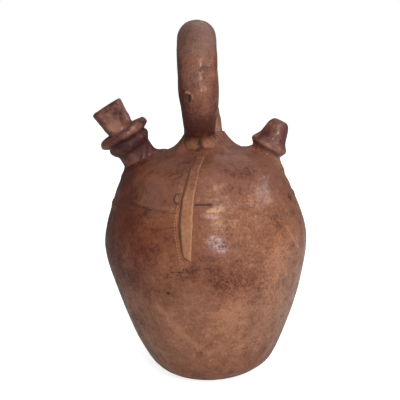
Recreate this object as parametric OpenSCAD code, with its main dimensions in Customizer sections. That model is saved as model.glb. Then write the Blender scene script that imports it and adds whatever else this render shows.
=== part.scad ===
// Leather-covered clay water jug of the Spanish botijo kind: a hollow fired-clay jar
// with a filler neck, a drinking spout and a ring handle, all clad in wet-formed hide.
// Millimetres. Origin at the centre of the base, +Z up, filler neck towards -X.

/* [Body] */
// Largest diameter of the covered body
body_d = 186; // [160:1:220]
// Height of the widest ring above the base
widest_z = 125; // [105:1:140]
// Height of the top of the shoulder dome
crown_h = 208.5; // [190:0.5:240]
// Diameter of the ring the body stands on
foot_d = 80; // [60:1:110]
// Height of the rounded foot
foot_h = 13; // [8:1:20]
// Thickness of the clay wall
wall = 6.5; // [5:0.5:10]
// Thickness of the clay floor
floor_t = 8; // [6:0.5:14]

/* [Leather] */
// Thickness of the hide
leather_t = 2; // [1.2:0.1:3]
// Glue line between hide and clay, and between pieces of one body
glue = 0.15; // [0.05:0.05:0.3]
// Height of the seam between the belly hide and the shoulder hide
seam_z = 165; // [150:1:175]
// How far the upper edge of the belly hide stands proud at the seam
seam_step = 0.7; // [0:0.1:1.5]

/* [Filler neck] */
// Distance of the filler neck from the jug's axis, on the shoulder
filler_seat = 54.7; // [48:0.1:60]
// Outward lean of the filler neck
filler_tilt = 28; // [15:1:35]
// Height of the rim above the shoulder, along the neck
filler_h = 32; // [28:0.5:40]
// Diameter of the lip
lip_d = 47.6; // [42:0.2:54]
// Height of the lip's rounded edge
lip_h = 8; // [6:0.5:10]
// Diameter of the ring under the lip
tier_d = 39.6; // [35:0.2:42]
// Diameter of the neck at its narrowest
filler_neck_d = 31.6; // [29:0.2:34]
// Bore of the neck below the stopper
filler_bore = 19.2; // [16:0.2:20]

/* [Spout] */
// Distance of the spout from the jug's axis, on the shoulder
spout_seat = 58; // [50:0.1:62]
// Outward lean of the spout
spout_tilt = 28; // [15:1:35]
// Height of the tip above the shoulder, along the spout
spout_h = 33.2; // [30:0.2:45]
// Diameter of the bead round the spout
bead_d = 34; // [31:0.2:38]
// Height of the bead's middle above the shoulder
bead_z = 10; // [9:0.5:14]
// Diameter of the spout's neck under the bead
spout_neck_d = 28.6; // [27:0.2:31]
// Diameter of the tip
tip_d = 19; // [17:0.2:24]
// Bore of the drinking hole
spout_bore = 5; // [3:0.1:6]
// Length of the straight drinking hole
spout_bore_l = 10; // [6:0.5:14]

/* [Necks] */
// Forward lean of both necks
neck_lean = 5; // [0:1:8]
// Width of the flare where a neck's hide meets the shoulder
flare_w = 8; // [5:0.5:12]

/* [Handle] */
// Outer diameter of the ring handle
ring_d = 114; // [100:1:130]
// Height of the handle's top above the base
handle_top = 319.5; // [300:0.5:345]
// Width of the handle across the ring
handle_w = 33.2; // [28:0.2:38]
// Thickness of the handle in the plane of the ring
handle_t = 30; // [24:0.2:34]
// Distance of each foot's middle from the jug's axis
leg_seat = 17; // [15:0.5:24]
// Narrowest width of the front leg
front_leg_w = 26.5; // [20:0.5:30]
// Narrowest width of the rear leg
rear_leg_w = 35; // [28:0.5:38]
// Thickness of a leg above its foot
leg_t = 23; // [18:0.5:26]
// How far the rear foot stands to the spout's side of the front one
rear_shift = 4.5; // [0:0.5:6]
// How far the top of the ring leans to the spout's side
handle_lean = 3; // [0:0.5:6]
// How deep the hide's end is cut between its lobes
lobe_cut = 3.5; // [1:0.5:4]

/* [Stopper] */
// Height of the stopper's top above the rim
stopper_up = 24.8; // [15:0.2:32]
// Length of the plug below the rim
plug_l = 18.5; // [12:0.5:19]
// Diameter of the stopper at the rim
plug_d = 25; // [23:0.2:26]
// Growth of the stopper's diameter per millimetre of height
plug_taper = 0.187; // [0.1:0.001:0.2]
// Clearance all round between the plug and the mouth
plug_fit = 0.3; // [0.1:0.05:0.5]
// Thickness of the hide on the stopper
stopper_hide = 1.8; // [1:0.1:2.5]

/* [Dart strips] */
// Thickness of a strip over the hide
strip_t = 1.6; // [1:0.1:2.5]
// Widest part of a strip
strip_w = 15; // [10:0.5:20]
// Length of a strip, along its own slope
strip_l = 98; // [70:1:105]

/* [Hidden] */

$fn = 64;
under = leather_t + glue;
body_r = body_d / 2;
foot_r = foot_d / 2;
far = 400;

// Points of a cubic curve from a to d, the last one left to the next curve
function curve(a, b, c, d, n) = [
    for (i = [0 : n - 1])
        let (t = i / n, u = 1 - t)
            u * u * u * a + 3 * u * u * t * b + 3 * u * t * t * c + t * t * t * d
];

// Smooth line through every point of a list, n steps from each to the next
function smooth(p, n) = concat([
    for (i = [0 : len(p) - 2], j = [0 : n - 1])
        let (
            t = j / n,
            a = p[max(i - 1, 0)],
            b = p[i],
            c = p[i + 1],
            d = p[min(i + 2, len(p) - 1)]
        )
        0.5 * (2 * b + (c - a) * t + (2 * a - 5 * b + 4 * c - d) * t * t
            + (3 * b - a - 3 * c + d) * t * t * t)
], [p[len(p) - 1]]);

// A profile moved towards its axis by d, at right angles to itself
function inset(p, d) = [
    for (i = [0 : len(p) - 1])
        let (
            s = p[min(i + 1, len(p) - 1)] - p[max(i - 1, 0)],
            t = s / norm(s)
        )
        [max(p[i][0] - d * t[1], 0), p[i][1] + d * t[0]]
];

function reversed(p) = [for (i = [len(p) - 1 : -1 : 0]) p[i]];

// Corners of the body's outline: foot, widest ring, shoulder and crown
knee_run = 18.5;
shoulder_run = 20;
shoulder_drop = 22.5;
foot = [foot_r, 0];
knee = [foot_r + knee_run, foot_h];
waist = [body_r, widest_z];
shoulder = [body_r - shoulder_run, crown_h - shoulder_drop];
crown = [0, crown_h];

// How far the outline's curves run straight out of its corners
heel_pull = [6, 1.2];
knee_pull_in = [3.7, 6];
knee_pull_out = [10, 16];
waist_pull_in = [0, 33];
waist_pull_out = [0, 18];
slope = [-0.447, 0.894];
shoulder_pull_in = 20 * slope;
shoulder_pull_out = 14 * slope;
crown_pull = [40, 0];

// Outline of the hide from the base to the top of the crown
foot_steps = 5;
steps = 9;
outline = concat(
    curve(foot, foot + heel_pull, knee - knee_pull_in, knee, foot_steps),
    curve(knee, knee + knee_pull_out, waist - waist_pull_in, waist, steps),
    curve(waist, waist + waist_pull_out, shoulder - shoulder_pull_in, shoulder, steps),
    curve(shoulder, shoulder + shoulder_pull_out, crown + crown_pull, crown, steps),
    [crown]
);

// Height of a profile's upper side at a distance r from the axis
function crown_z(p, r) = lookup(r, [
    for (i = [len(p) - 1 : -1 : 0]) if (p[i][1] > widest_z) [p[i][0], p[i][1]]
]);

// Distance of a profile from the axis at a height z above the widest ring
function wall_r(p, z) = lookup(z, [for (q = p) if (q[1] > widest_z) [q[1], q[0]]]);

// The raised roll along the upper edge of the belly hide
seam_roll = 6;
belly_edge = [
    [wall_r(outline, seam_z - seam_roll) - leather_t, seam_z - seam_roll],
    [wall_r(outline, seam_z - seam_roll), seam_z - seam_roll],
    [wall_r(outline, seam_z - seam_roll / 3) + seam_step, seam_z - seam_roll / 3],
    [wall_r(outline, seam_z) + seam_step, seam_z],
    [wall_r(outline, seam_z) - leather_t, seam_z]
];

// Solid of revolution under a profile that ends on the axis
module turned(p) {
    rotate_extrude() polygon(concat(p, [[0, p[0][1]]]));
}

// Everything under the hide
module clay_form() {
    turned(inset(outline, leather_t));
}

// Seats of the necks: z runs out along the neck, 0 on the shoulder's outer face
module at_neck(seat, tilt) {
    translate([seat, 0, crown_z(outline, abs(seat))])
        rotate([neck_lean, 0, 0])
            rotate([0, tilt, 0])
                children();
}
module at_filler() {
    at_neck(-filler_seat, -filler_tilt) children();
}
module at_spout() {
    at_neck(spout_seat, spout_tilt) children();
}

// The foot of a neck's hide, from its root in the shoulder up to a neck of radius r
root_z = -13;
root_run = 2.5;
flare_z = -6;
flare_mid_z = -2;
flare_mid = 0.4;
function flare_root(r) = [r + flare_w + root_run, root_z];
function flare(r) = [[r + flare_w, flare_z], [r + flare_mid * flare_w, flare_mid_z]];

// Profile of the filler neck's hide, radius and height along the neck
profile_steps = 3;
lip_r = lip_d / 2;
lip_round = 2;
tier_r = tier_d / 2;
filler_neck_r = filler_neck_d / 2;
groove_h = 5.5;
tier_z = filler_h - lip_h - groove_h;
filler_hide = concat(
    [flare_root(filler_neck_r)],
    smooth(concat(flare(filler_neck_r), [
        // neck
        [filler_neck_r + 0.5, 3],
        [filler_neck_r, tier_z - 7],
        // ring under the lip
        [tier_r - 1.4, tier_z - 3],
        [tier_r, tier_z],
        [tier_r - 0.2, tier_z + 2.5],
        [tier_r - 0.4, tier_z + 4.5],
        // lip
        [lip_r - 2.6, filler_h - lip_h + 0.6],
        [lip_r, filler_h - 0.65 * lip_h],
        [lip_r, filler_h - 0.3 * lip_h],
        [lip_r - lip_round, filler_h]
    ]), profile_steps)
);
rim_hide_r = lip_r - lip_round - leather_t;

// Profile of the spout's hide, radius and height along the spout
bead_r = bead_d / 2;
tip_r = tip_d / 2;
spout_neck_r = spout_neck_d / 2;
tip_edge = 1.6;
tip_hole_r = spout_bore / 2 + tip_edge;
cone_l = spout_h - bead_z;
spout_hide = concat(
    [flare_root(spout_neck_r)],
    smooth(concat(flare(spout_neck_r), [
        // neck
        [spout_neck_r, bead_z - 7.2],
        // bead
        [bead_r - 1.1, bead_z - 3.8],
        [bead_r, bead_z - 0.6],
        [bead_r - 1.2, bead_z + 2.8],
        // cone
        [tip_r + 3.6, bead_z + 0.3 * cone_l],
        [tip_r + 1.5, bead_z + 0.47 * cone_l],
        [tip_r + 0.8, bead_z + 0.66 * cone_l],
        // tip
        [tip_r - 0.4, bead_z + 0.84 * cone_l],
        [tip_r - 2.2, bead_z + 0.95 * cone_l],
        [tip_hole_r, spout_h]
    ]), profile_steps)
);

// A length of the stopper's cone, d wider all round
rim_z = filler_h;
plug_r = plug_d / 2;
plug_bottom = rim_z - plug_l;
stopper_top = rim_z + stopper_up;
function plug_at(z) = plug_r + (z - rim_z) * plug_taper / 2;
module plug(z0, z1, d) {
    translate([0, 0, z0]) cylinder(h = z1 - z0, r1 = plug_at(z0) + d, r2 = plug_at(z1) + d);
}

// Bores of the two necks, from inside the jar outwards
bore_start = -30;
bore_run = 5;
past = 1;
module filler_bore_form() {
    translate([0, 0, bore_start]) cylinder(h = far, d = filler_bore);
    plug(plug_bottom - past, rim_z + past, plug_fit);
}
spout_wall = wall - 1.5;
spout_root_d = 2 * (spout_neck_r - under - spout_wall);
module spout_bore_form() {
    bore_z = spout_h - under - spout_bore_l;
    translate([0, 0, bore_start]) cylinder(h = far, d = spout_bore);
    translate([0, 0, bore_start]) cylinder(h = bead_z - bore_start, d = spout_root_d);
    translate([0, 0, bead_z])
        cylinder(h = bore_z - bead_z, d1 = spout_root_d, d2 = spout_bore);
}

// Centre line of the handle in its own plane: [y, z, side], front foot to rear foot
ring_r = (ring_d - handle_t) / 2;
ring_z = handle_top - ring_d / 2;
ring_end = 140;
ring_steps = 20;
leg_steps = 5;
leg_pull = 9;
function ring_point(a) = [ring_r * sin(a), ring_z + ring_r * cos(a)];
leg = let (
        top = ring_point(ring_end),
        along = [cos(ring_end), -sin(ring_end)],
        seat = [leg_seat, crown_z(outline, leg_seat)]
    )
    curve(seat, seat + [0, leg_pull], top + leg_pull * along, top, leg_steps);
handle_path = concat(
    [for (p = leg) [-p[0], p[1], -1]],
    [for (i = [0 : ring_steps])
        let (a = ring_end * (2 * i / ring_steps - 1), p = ring_point(a))
            [p[0], p[1], sign(a)]],
    [for (p = reversed(leg)) [p[0], p[1], 1]]
);

// Half width and half thickness of the handle at height z, on the side s
foot_z = crown_z(outline, leg_seat);
foot_flare = 6;
flare_top = 13;
leg_top = 20;
full_z = ring_z - 5;
function leg_w(s) = (s < 0 ? front_leg_w : rear_leg_w) / 2;
function half_w(z, s) = lookup(z, [
    [foot_z, leg_w(s) + foot_flare],
    [foot_z + flare_top / 3, leg_w(s) + foot_flare / 2],
    [foot_z + flare_top * 2 / 3, leg_w(s) + foot_flare / 6],
    [foot_z + flare_top, leg_w(s)],
    [foot_z + leg_top, leg_w(s)],
    [full_z, handle_w / 2]
]);

// How far the handle stands to the side of its plane at height z, on the side s
function drift(z, s) = handle_lean * pow((z - foot_z) / (handle_top - foot_z), 2)
    + (s > 0 ? lookup(z, [[foot_z, rear_shift], [ring_z, 0]]) : 0);
function half_t(z) = lookup(z, [
    [foot_z, leg_t / 2],
    [foot_z + leg_top, leg_t / 2],
    [full_z, handle_t / 2]
]);

// Rings of the handle's skin moved in by d; the two end rings lie on the profile p
handle_sides = 24;
function lobes(a) = 1 - sqrt(abs(sin(2 * a)));
function handle_rings(d, p, cut) = [
    for (i = [0 : len(handle_path) - 1])
        let (
            last = len(handle_path) - 1,
            c = handle_path[i],
            s = handle_path[min(i + 1, last)] - handle_path[max(i - 1, 0)],
            end = i == 0 || i == last,
            t = end ? [0, i == 0 ? 1 : -1] : [s[0], s[1]] / norm([s[0], s[1]]),
            w = half_w(c[1], c[2]) - d,
            h = half_t(c[1]) - d
        )
        [for (k = [0 : handle_sides - 1])
            let (
                a = 360 * k / handle_sides,
                x = w * cos(a) + drift(c[1], c[2]),
                y = c[0] + h * sin(a) * t[1],
                z = c[1] - h * sin(a) * t[0]
            )
            end ? [x, y, crown_z(p, norm([x, y])) + glue + cut * lobes(a)] : [x, y, z]]
];

// Triangles between the rings from n0 on, turned over when flip is true
function tube_faces(n, count, n0, flip) = [
    for (i = [0 : count - 2], k = [0 : n - 1], half = [0, 1])
        let (
            a = n0 + i * n + k,
            b = n0 + i * n + (k + 1) % n,
            f = half == 0 ? [a, a + n, b] : [b, a + n, b + n]
        )
        flip ? [f[0], f[2], f[1]] : f
];
function flat(v) = [for (ring = v, p = ring) p];

// A smaller ring under a foot, laid on the profile p, to carry the end face
function cap_ring(side, p) = [
    for (k = [0 : handle_sides - 1])
        let (
            a = 360 * k / handle_sides,
            x = (half_w(foot_z, side) - under) / 2 * cos(a) + drift(foot_z, side),
            y = side * (leg_seat - (half_t(foot_z) - under) / 2 * sin(a))
        )
        [x, y, crown_z(p, norm([x, y])) + glue]
];

module sweep_solid(body_rings, p) {
    rings = concat([cap_ring(-1, p)], body_rings, [cap_ring(1, p)]);
    mid_z = crown_z(p, leg_seat) + glue;
    n = handle_sides;
    count = len(rings);
    middles = [[0, -leg_seat, mid_z], [drift(foot_z, 1), leg_seat, mid_z]];
    m = n * count;
    e = (count - 1) * n;
    ends = [
        for (k = [0 : n - 1]) [m, k, (k + 1) % n],
        for (k = [0 : n - 1]) [m + 1, e + (k + 1) % n, e + k]
    ];
    polyhedron(concat(flat(rings), middles), concat(tube_faces(n, count, 0, false), ends));
}

module sweep_shell(outer, inner) {
    n = handle_sides;
    count = len(outer);
    m = n * count;
    ends = [
        for (k = [0 : n - 1], e = [0, count - 1], half = [0, 1])
            let (
                a = e * n + k,
                b = e * n + (k + 1) % n,
                f = half == 0 ? [a, b, m + a] : [b, m + b, m + a]
            )
            e == 0 ? f : [f[0], f[2], f[1]]
    ];
    polyhedron(
        concat(flat(outer), flat(inner)),
        concat(tube_faces(n, count, 0, false), tube_faces(n, count, m, true), ends)
    );
}

// The holes that the handle's feet pass through, d larger all round
module foot_holes(d) {
    for (side = [-1, 1])
        translate([drift(foot_z, side), side * leg_seat, widest_z])
            linear_extrude(height = far)
                polygon([for (k = [0 : handle_sides - 1])
                    let (a = 360 * k / handle_sides)
                        [(half_w(foot_z, side) - under + d) * cos(a),
                         (half_t(foot_z) - under + d) * sin(a)]]);
}

// Everything that passes through the shoulder hide
foot_cut = 3;
module shoulder_openings() {
    at_filler() neck_foot(inset(filler_hide, -glue));
    at_spout() neck_foot(inset(spout_hide, -glue));
    foot_holes(glue);
}
module neck_foot(p) {
    low = [for (c = p) if (c[1] < foot_cut) c];
    rotate_extrude()
        polygon(concat([[0, low[0][1]]], low, [[low[len(low) - 1][0], foot_cut], [0, foot_cut]]));
}

// One neck hide: a turned shell whose cut end is given as a list of points
module neck_leather(p, cut_end) {
    q = inset(p, leather_t);
    last = len(p) - 1;
    rotate_extrude()
        polygon(concat(p, cut_end, reversed([for (i = [0 : last - 1]) q[i]])));
}

// One clay neck: a turned solid under its hide, up to the height top
rim_edge = 0.8;
module neck_clay(p, top, r_top) {
    q = inset(p, under);
    kept = [for (c = q) if (c[1] < top - rim_edge) c];
    rotate_extrude()
        polygon(concat([[0, kept[0][1]]], kept, [[r_top, top], [0, top]]));
}

module neck_hole(d) {
    translate([0, 0, bore_start]) cylinder(h = bore_run - bore_start, d = d);
}

// The jar is thrown as a bowl and a dome, luted together above the widest ring
luting_up = 5;
luting_z = widest_z + luting_up;
floor_run = 8;
floor_round = 6;
floor_z = under + floor_t;
jar_skin = inset(outline, under);
jar_inner = inset(outline, under + wall);

module clay_bowl() {
    skin = [for (c = jar_skin) if (c[1] >= under && c[1] < luting_z) c];
    inner = [for (c = jar_inner) if (c[1] > floor_z + floor_round && c[1] < luting_z) c];
    color("sandybrown")
        rotate_extrude()
            polygon(concat(
                [[0, under]], skin,
                [[wall_r(jar_skin, luting_z), luting_z], [wall_r(jar_inner, luting_z), luting_z]],
                reversed(inner), [[foot_r + floor_run, floor_z], [0, floor_z]]
            ));
}

module clay_dome() {
    z0 = luting_z + glue;
    color("sandybrown")
        difference() {
            rotate_extrude()
                polygon(concat(
                    [[wall_r(jar_skin, z0), z0]], [for (c = jar_skin) if (c[1] > z0) c],
                    reversed([for (c = jar_inner) if (c[1] > z0) c]), [[wall_r(jar_inner, z0), z0]]
                ));
            at_filler() neck_hole(filler_bore);
            at_spout() neck_hole(spout_root_d);
        }
}

module clay_filler_neck() {
    color("tan")
        difference() {
            at_filler() neck_clay(filler_hide, filler_h, rim_hide_r - glue);
            clay_form();
            at_filler() filler_bore_form();
        }
}

module clay_spout() {
    color("tan")
        difference() {
            at_spout() neck_clay(spout_hide, spout_h - under, tip_hole_r);
            clay_form();
            at_spout() spout_bore_form();
        }
}

module clay_handle() {
    seat = inset(outline, under);
    color("sandybrown")
        sweep_solid(handle_rings(under, seat, 0), seat);
}

// The belly hide, up to the seam, with its upper edge standing proud
module belly_leather() {
    skin = inset(outline, leather_t);
    color("saddlebrown")
        rotate_extrude()
            polygon(concat(
                [for (p = outline) if (p[1] < seam_z - seam_roll) p],
                [belly_edge[1], belly_edge[2], belly_edge[3]],
                [[wall_r(skin, seam_z), seam_z]],
                reversed([for (p = skin) if (p[1] < seam_z) p])
            ));
}

// The shoulder hide, from the seam to the crown
module shoulder_leather() {
    z0 = seam_z + glue;
    skin = inset(outline, leather_t);
    color("sienna")
        difference() {
            rotate_extrude()
                polygon(concat(
                    [[wall_r(outline, z0), z0]], [for (p = outline) if (p[1] > z0) p],
                    reversed([for (p = skin) if (p[1] > z0) p]), [[wall_r(skin, z0), z0]]
                ));
            shoulder_openings();
        }
}

module base_leather() {
    color("saddlebrown")
        cylinder(h = leather_t, r = foot_r - leather_t);
}

// A strip cut out of a thin layer on the hide, looking down its slope
strip_slope = 35;
strip_drop = 55;
strip_top = crown_h - strip_drop;
strip_rows = [
    // share of the length, sideways place, share of the width
    [0.00, -1.7, 0.74],
    [0.14, -4.6, 0.80],
    [0.30, -8.8, 0.70],
    [0.46, -12.8, 0.72],
    [0.56, -14.0, 0.98],
    [0.70, -14.8, 1.00],
    [0.84, -15.2, 0.82],
    [0.96, -15.4, 0.62],
    [1.00, -16.8, 0.34]
];
module strip(side) {
    rows = [for (r = strip_rows) [r[1], strip_top - r[0] * strip_l, r[2] * strip_w / 2]];
    difference() {
        intersection() {
            turned(inset(outline, -strip_t - glue));
            rotate([90 - strip_slope, 0, 0])
                linear_extrude(height = far)
                    polygon(concat(
                        [for (r = rows) [side * (r[0] + r[2]), r[1]]],
                        reversed([for (r = rows) [side * (r[0] - r[2]), r[1]]])
                    ));
        }
        turned(inset(outline, -glue));
        rotate_extrude()
            polygon(inset(belly_edge, -glue));
    }
}

module front_dart_strip() {
    color("peru") strip(1);
}

module rear_dart_strip() {
    color("peru") rotate(180) strip(-1);
}

module filler_neck_leather() {
    color("saddlebrown")
        difference() {
            at_filler() neck_leather(filler_hide, [[rim_hide_r, filler_h]]);
            clay_form();
        }
}

module spout_leather() {
    color("saddlebrown")
        difference() {
            at_spout() neck_leather(spout_hide, [[tip_hole_r, spout_h - leather_t]]);
            clay_form();
        }
}

module handle_leather() {
    color("sienna")
        sweep_shell(handle_rings(0, outline, lobe_cut), handle_rings(leather_t, outline, lobe_cut));
}

module stopper_core() {
    color("burlywood")
        at_filler()
            plug(plug_bottom, stopper_top - stopper_hide - glue, -stopper_hide - glue);
}

module stopper_leather() {
    color("saddlebrown")
        at_filler()
            difference() {
                plug(plug_bottom, stopper_top, 0);
                plug(plug_bottom - past, stopper_top + past, -stopper_hide);
            }
}

module stopper_top_leather() {
    color("sienna")
        at_filler() plug(stopper_top - stopper_hide, stopper_top, -stopper_hide - glue);
}

clay_bowl();
clay_dome();
clay_filler_neck();
clay_spout();
clay_handle();
belly_leather();
shoulder_leather();
base_leather();
front_dart_strip();
rear_dart_strip();
filler_neck_leather();
spout_leather();
handle_leather();
stopper_core();
stopper_leather();
stopper_top_leather();
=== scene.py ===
"""Looks of a leather-covered clay water jug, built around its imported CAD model.

Sizes in the classes are millimetres in the jug's own frame: origin at the centre of the
base, +Z up, filler neck towards -X, front towards -Y. Meshes become metres when they
are made. An azimuth is an angle round the jug, 0 at the front and growing towards +X.
"""

import logging
import math
from dataclasses import dataclass, field
from enum import Enum
from typing import Optional, Sequence

import bmesh
import bpy
import numpy as np
from mathutils import Matrix, Vector


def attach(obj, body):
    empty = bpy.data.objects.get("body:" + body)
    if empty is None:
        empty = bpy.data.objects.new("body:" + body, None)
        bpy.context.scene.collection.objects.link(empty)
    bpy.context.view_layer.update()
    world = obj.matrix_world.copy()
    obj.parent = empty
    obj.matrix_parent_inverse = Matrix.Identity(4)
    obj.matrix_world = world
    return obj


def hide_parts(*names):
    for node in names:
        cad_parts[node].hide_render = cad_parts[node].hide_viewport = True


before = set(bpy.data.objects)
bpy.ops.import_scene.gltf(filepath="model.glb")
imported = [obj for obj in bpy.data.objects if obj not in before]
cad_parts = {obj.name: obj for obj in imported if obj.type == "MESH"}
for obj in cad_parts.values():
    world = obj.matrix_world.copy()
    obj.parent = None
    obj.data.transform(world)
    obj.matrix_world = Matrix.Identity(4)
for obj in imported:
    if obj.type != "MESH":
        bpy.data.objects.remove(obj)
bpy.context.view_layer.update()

Array = np.ndarray
MM = 0.001
LOG = logging.getLogger("jug")


# ---- curves and noise


def ease(x: Array) -> Array:
    """A smooth step that goes from 0 at x = 0 to 1 at x = 1."""
    t = np.clip(x, 0.0, 1.0)
    return t * t * (3.0 - 2.0 * t)


def bell(x: Array) -> Array:
    """A soft hump, 1 at x = 0 and almost 0 beyond x = 2 on both sides."""
    return np.exp(-(x**2))


def around(radius: Array, height: Array, turn: Array) -> Array:
    """Points round the Z axis, by radius, height and angle in radians."""
    return np.stack(
        np.broadcast_arrays(radius * np.cos(turn), radius * np.sin(turn), height), -1
    )


def lengths(line: Array) -> Array:
    """How far along a line each of its points lies."""
    steps = np.linalg.norm(np.diff(line, axis=0), axis=1)
    return np.concatenate([[0], np.cumsum(steps)])


def along(line: Array, way: Array, at: Array) -> Array:
    """Places on a line at given lengths, way being the length at each of its points."""
    return np.stack([np.interp(at, way, axis) for axis in line.T], -1)


def bezier(a: Array, b: Array, c: Array, d: Array, count: int) -> Array:
    """Points of a cubic curve.

    Args:
        a, b, c, d: the curve's four control points.
        count: how many points to give, the last control point left out.

    Returns:
        An array with one row for each point.
    """
    t = np.linspace(0.0, 1.0, count, endpoint=False)[:, None]
    u = 1.0 - t
    return u**3 * a + 3 * u * u * t * b + 3 * u * t * t * c + t**3 * d


def spline(points: Sequence[Sequence[float]], steps: int) -> Array:
    """A smooth line through every point of a list.

    Args:
        points: the points that the line passes through.
        steps: how many points to give from each of them to the next.

    Returns:
        An array with one row for each point of the line.
    """
    p = np.asarray(points, float)
    p = np.vstack([p[:1], p, p[-1:]])
    t = np.linspace(0.0, 1.0, steps, endpoint=False)[:, None]
    parts = []
    for a, b, c, d in zip(p, p[1:], p[2:], p[3:]):
        bend = (2 * a - 5 * b + 4 * c - d) * t * t + (3 * b - a - 3 * c + d) * t**3
        parts.append(0.5 * (2 * b + (c - a) * t + bend))
    return np.vstack(parts + [p[-1:]])


def waves(points: Array, size: float, seed: int, count: int = 26) -> Array:
    """Smooth noise, about -1 to 1, that is the same on each run.

    Args:
        points: places in millimetres, in the last axis of the array.
        size: the usual width of a lump.
        seed: which noise.
        count: how many waves are summed.

    Returns:
        One value for each place.
    """
    draw = np.random.default_rng(seed)
    way = draw.normal(size=(count, 3))
    way /= np.linalg.norm(way, axis=1)[:, None]
    way *= 2 * math.pi / (size * draw.uniform(1.2, 3.2, count))[:, None]
    shift = draw.uniform(0, 2 * math.pi, count)
    return np.cos(points @ way.T + shift).sum(-1) * math.sqrt(1.0 / count)


def distance_to_path(points: Array, path: Sequence[Sequence[float]]) -> Array:
    """Distance of each place from a line of straight stretches.

    Args:
        points: places, in the last axis of the array.
        path: the line's corners, one or more.

    Returns:
        One distance for each place.
    """
    corners = np.asarray(path, float)
    if len(corners) == 1:
        return np.linalg.norm(points - corners[0], axis=-1)
    best = np.full(points.shape[:-1], np.inf)
    for a, b in zip(corners, corners[1:]):
        span = b - a
        share = np.clip(((points - a) @ span) / (span @ span), 0.0, 1.0)
        gap = np.linalg.norm(points - a - share[..., None] * span, axis=-1)
        best = np.minimum(best, gap)
    return best


def grid_normals(grid: Array, wrap: bool) -> Array:
    """Unit normals of a grid of points, rows running away from the first ring.

    Args:
        grid: an array of rows by columns by 3.
        wrap: whether the last column joins the first.

    Returns:
        An array of the same shape.
    """
    along = np.gradient(grid, axis=0)
    if wrap:
        around = np.roll(grid, -1, 1) - np.roll(grid, 1, 1)
    else:
        around = np.gradient(grid, axis=1)
    normal = np.cross(around, along)
    return normal / np.maximum(np.linalg.norm(normal, axis=-1), 1e-9)[..., None]


def hollow(grid: Array, normal: Array, rows: int, columns: int) -> Array:
    """How far each point lies below its neighbours, more than 0 in a groove.

    Args:
        grid: an array of rows by columns by 3, the last column next to the first.
        normal: the grid's unit normals.
        rows: how many rows away the neighbours are.
        columns: how many columns away they are.

    Returns:
        One depth for each point, in millimetres.
    """
    padded = np.pad(grid, ((rows, rows), (0, 0), (0, 0)), "edge")
    mean = (padded[2 * rows :] + padded[: -2 * rows]) / 2
    mean += (np.roll(grid, columns, 1) + np.roll(grid, -columns, 1)) / 2
    depth = ((mean / 2 - grid) * normal).sum(-1)
    depth[:rows] = depth[rows]
    depth[-rows:] = depth[-rows - 1]
    return depth


# ---- meshes


class Layer(Enum):
    """Values painted on a hide, which its material reads."""

    TONE = "tone"
    RED = "red"
    WEAR = "wear"
    # real grime and stains, and also painted shade in slits, creases, hollows and joins
    GRIME_AND_SHADE = "grime_and_shade_paint"
    CLAY = "clay"
    FLECK = "fleck"


@dataclass
class Paint:
    """What is painted on each point of a grid of hide."""

    layers: dict[Layer, Array] = field(default_factory=dict)

    def add(self, layer: Layer, amount: Array) -> None:
        """Adds an amount to one layer."""
        self.layers[layer] = self.layers.get(layer, 0.0) + amount

    def flat(self, layer: Layer, shape: tuple[int, int]) -> Array:
        """One layer as a flat list of values for a grid of that shape."""
        return np.broadcast_to(self.layers.get(layer, 0.0), shape).reshape(-1)


def hide_mesh(
    name: str,
    outer: Array,
    inner: Array,
    paint: Paint,
    wrap: bool = True,
    keep: Optional[Array] = None,
    poles: bool = False,
) -> bpy.types.Object:
    """Makes one closed piece of hide from its two faces.

    Args:
        name: the piece's name.
        outer: the outer face, rows by columns by 3, in millimetres.
        inner: the inner face, of the same shape.
        paint: the values on the outer face.
        wrap: whether the last column joins the first.
        keep: which cells of the grid are there; all of them if left out.
        poles: whether an end row is one single point.

    Returns:
        The new object, linked to the scene.
    """
    rows, columns = outer.shape[:2]
    index = np.arange(rows * columns).reshape(rows, columns)
    right = np.roll(index, -1, 1) if wrap else index[:, 1:]
    left = index if wrap else index[:, :-1]
    cells = np.stack([left[:-1], right[:-1], right[1:], left[1:]], -1)
    if keep is None:
        keep = np.ones(cells.shape[:2], bool)
    kept = cells[keep]
    far = rows * columns
    faces = [kept, kept[:, ::-1] + far]
    beyond = np.pad(keep, 1)
    if wrap:
        beyond[1:-1, 0], beyond[1:-1, -1] = keep[:, -1], keep[:, 0]
    neighbours = [beyond[:-2, 1:-1], beyond[1:-1, 2:], beyond[2:, 1:-1], beyond[1:-1, :-2]]
    for side, there in enumerate(neighbours):
        edge = cells[keep & ~there]
        a, b = edge[:, side], edge[:, (side + 1) % 4]
        faces.append(np.stack([b, a, a + far, b + far], -1))
    points = np.vstack([outer.reshape(-1, 3), inner.reshape(-1, 3)]) * MM
    mesh = bpy.data.meshes.new(name)
    mesh.from_pydata(points.tolist(), [], np.vstack(faces).tolist())
    for layer in Layer:
        values = paint.flat(layer, (rows, columns)).astype(np.float32)
        values = np.concatenate([values, np.zeros(far, np.float32)])
        mesh.attributes.new(layer.value, "FLOAT", "POINT").data.foreach_set("value", values)
    clean_mesh(mesh, poles)
    return add_object(name, mesh)


def add_object(name: str, data: bpy.types.ID) -> bpy.types.Object:
    """A new object with its data, linked to the scene."""
    made = bpy.data.objects.new(name, data)
    bpy.context.scene.collection.objects.link(made)
    return made


def clean_mesh(mesh: bpy.types.Mesh, weld: bool) -> None:
    """Drops loose points, welds doubled ones if asked, and shades the mesh smooth."""
    work = bmesh.new()
    work.from_mesh(mesh)
    loose = [v for v in work.verts if not v.link_faces]
    bmesh.ops.delete(work, geom=loose, context="VERTS")
    if weld:
        bmesh.ops.remove_doubles(work, verts=work.verts, dist=1e-6)
    work.to_mesh(mesh)
    work.free()
    mesh.polygons.foreach_set("use_smooth", [True] * len(mesh.polygons))


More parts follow.
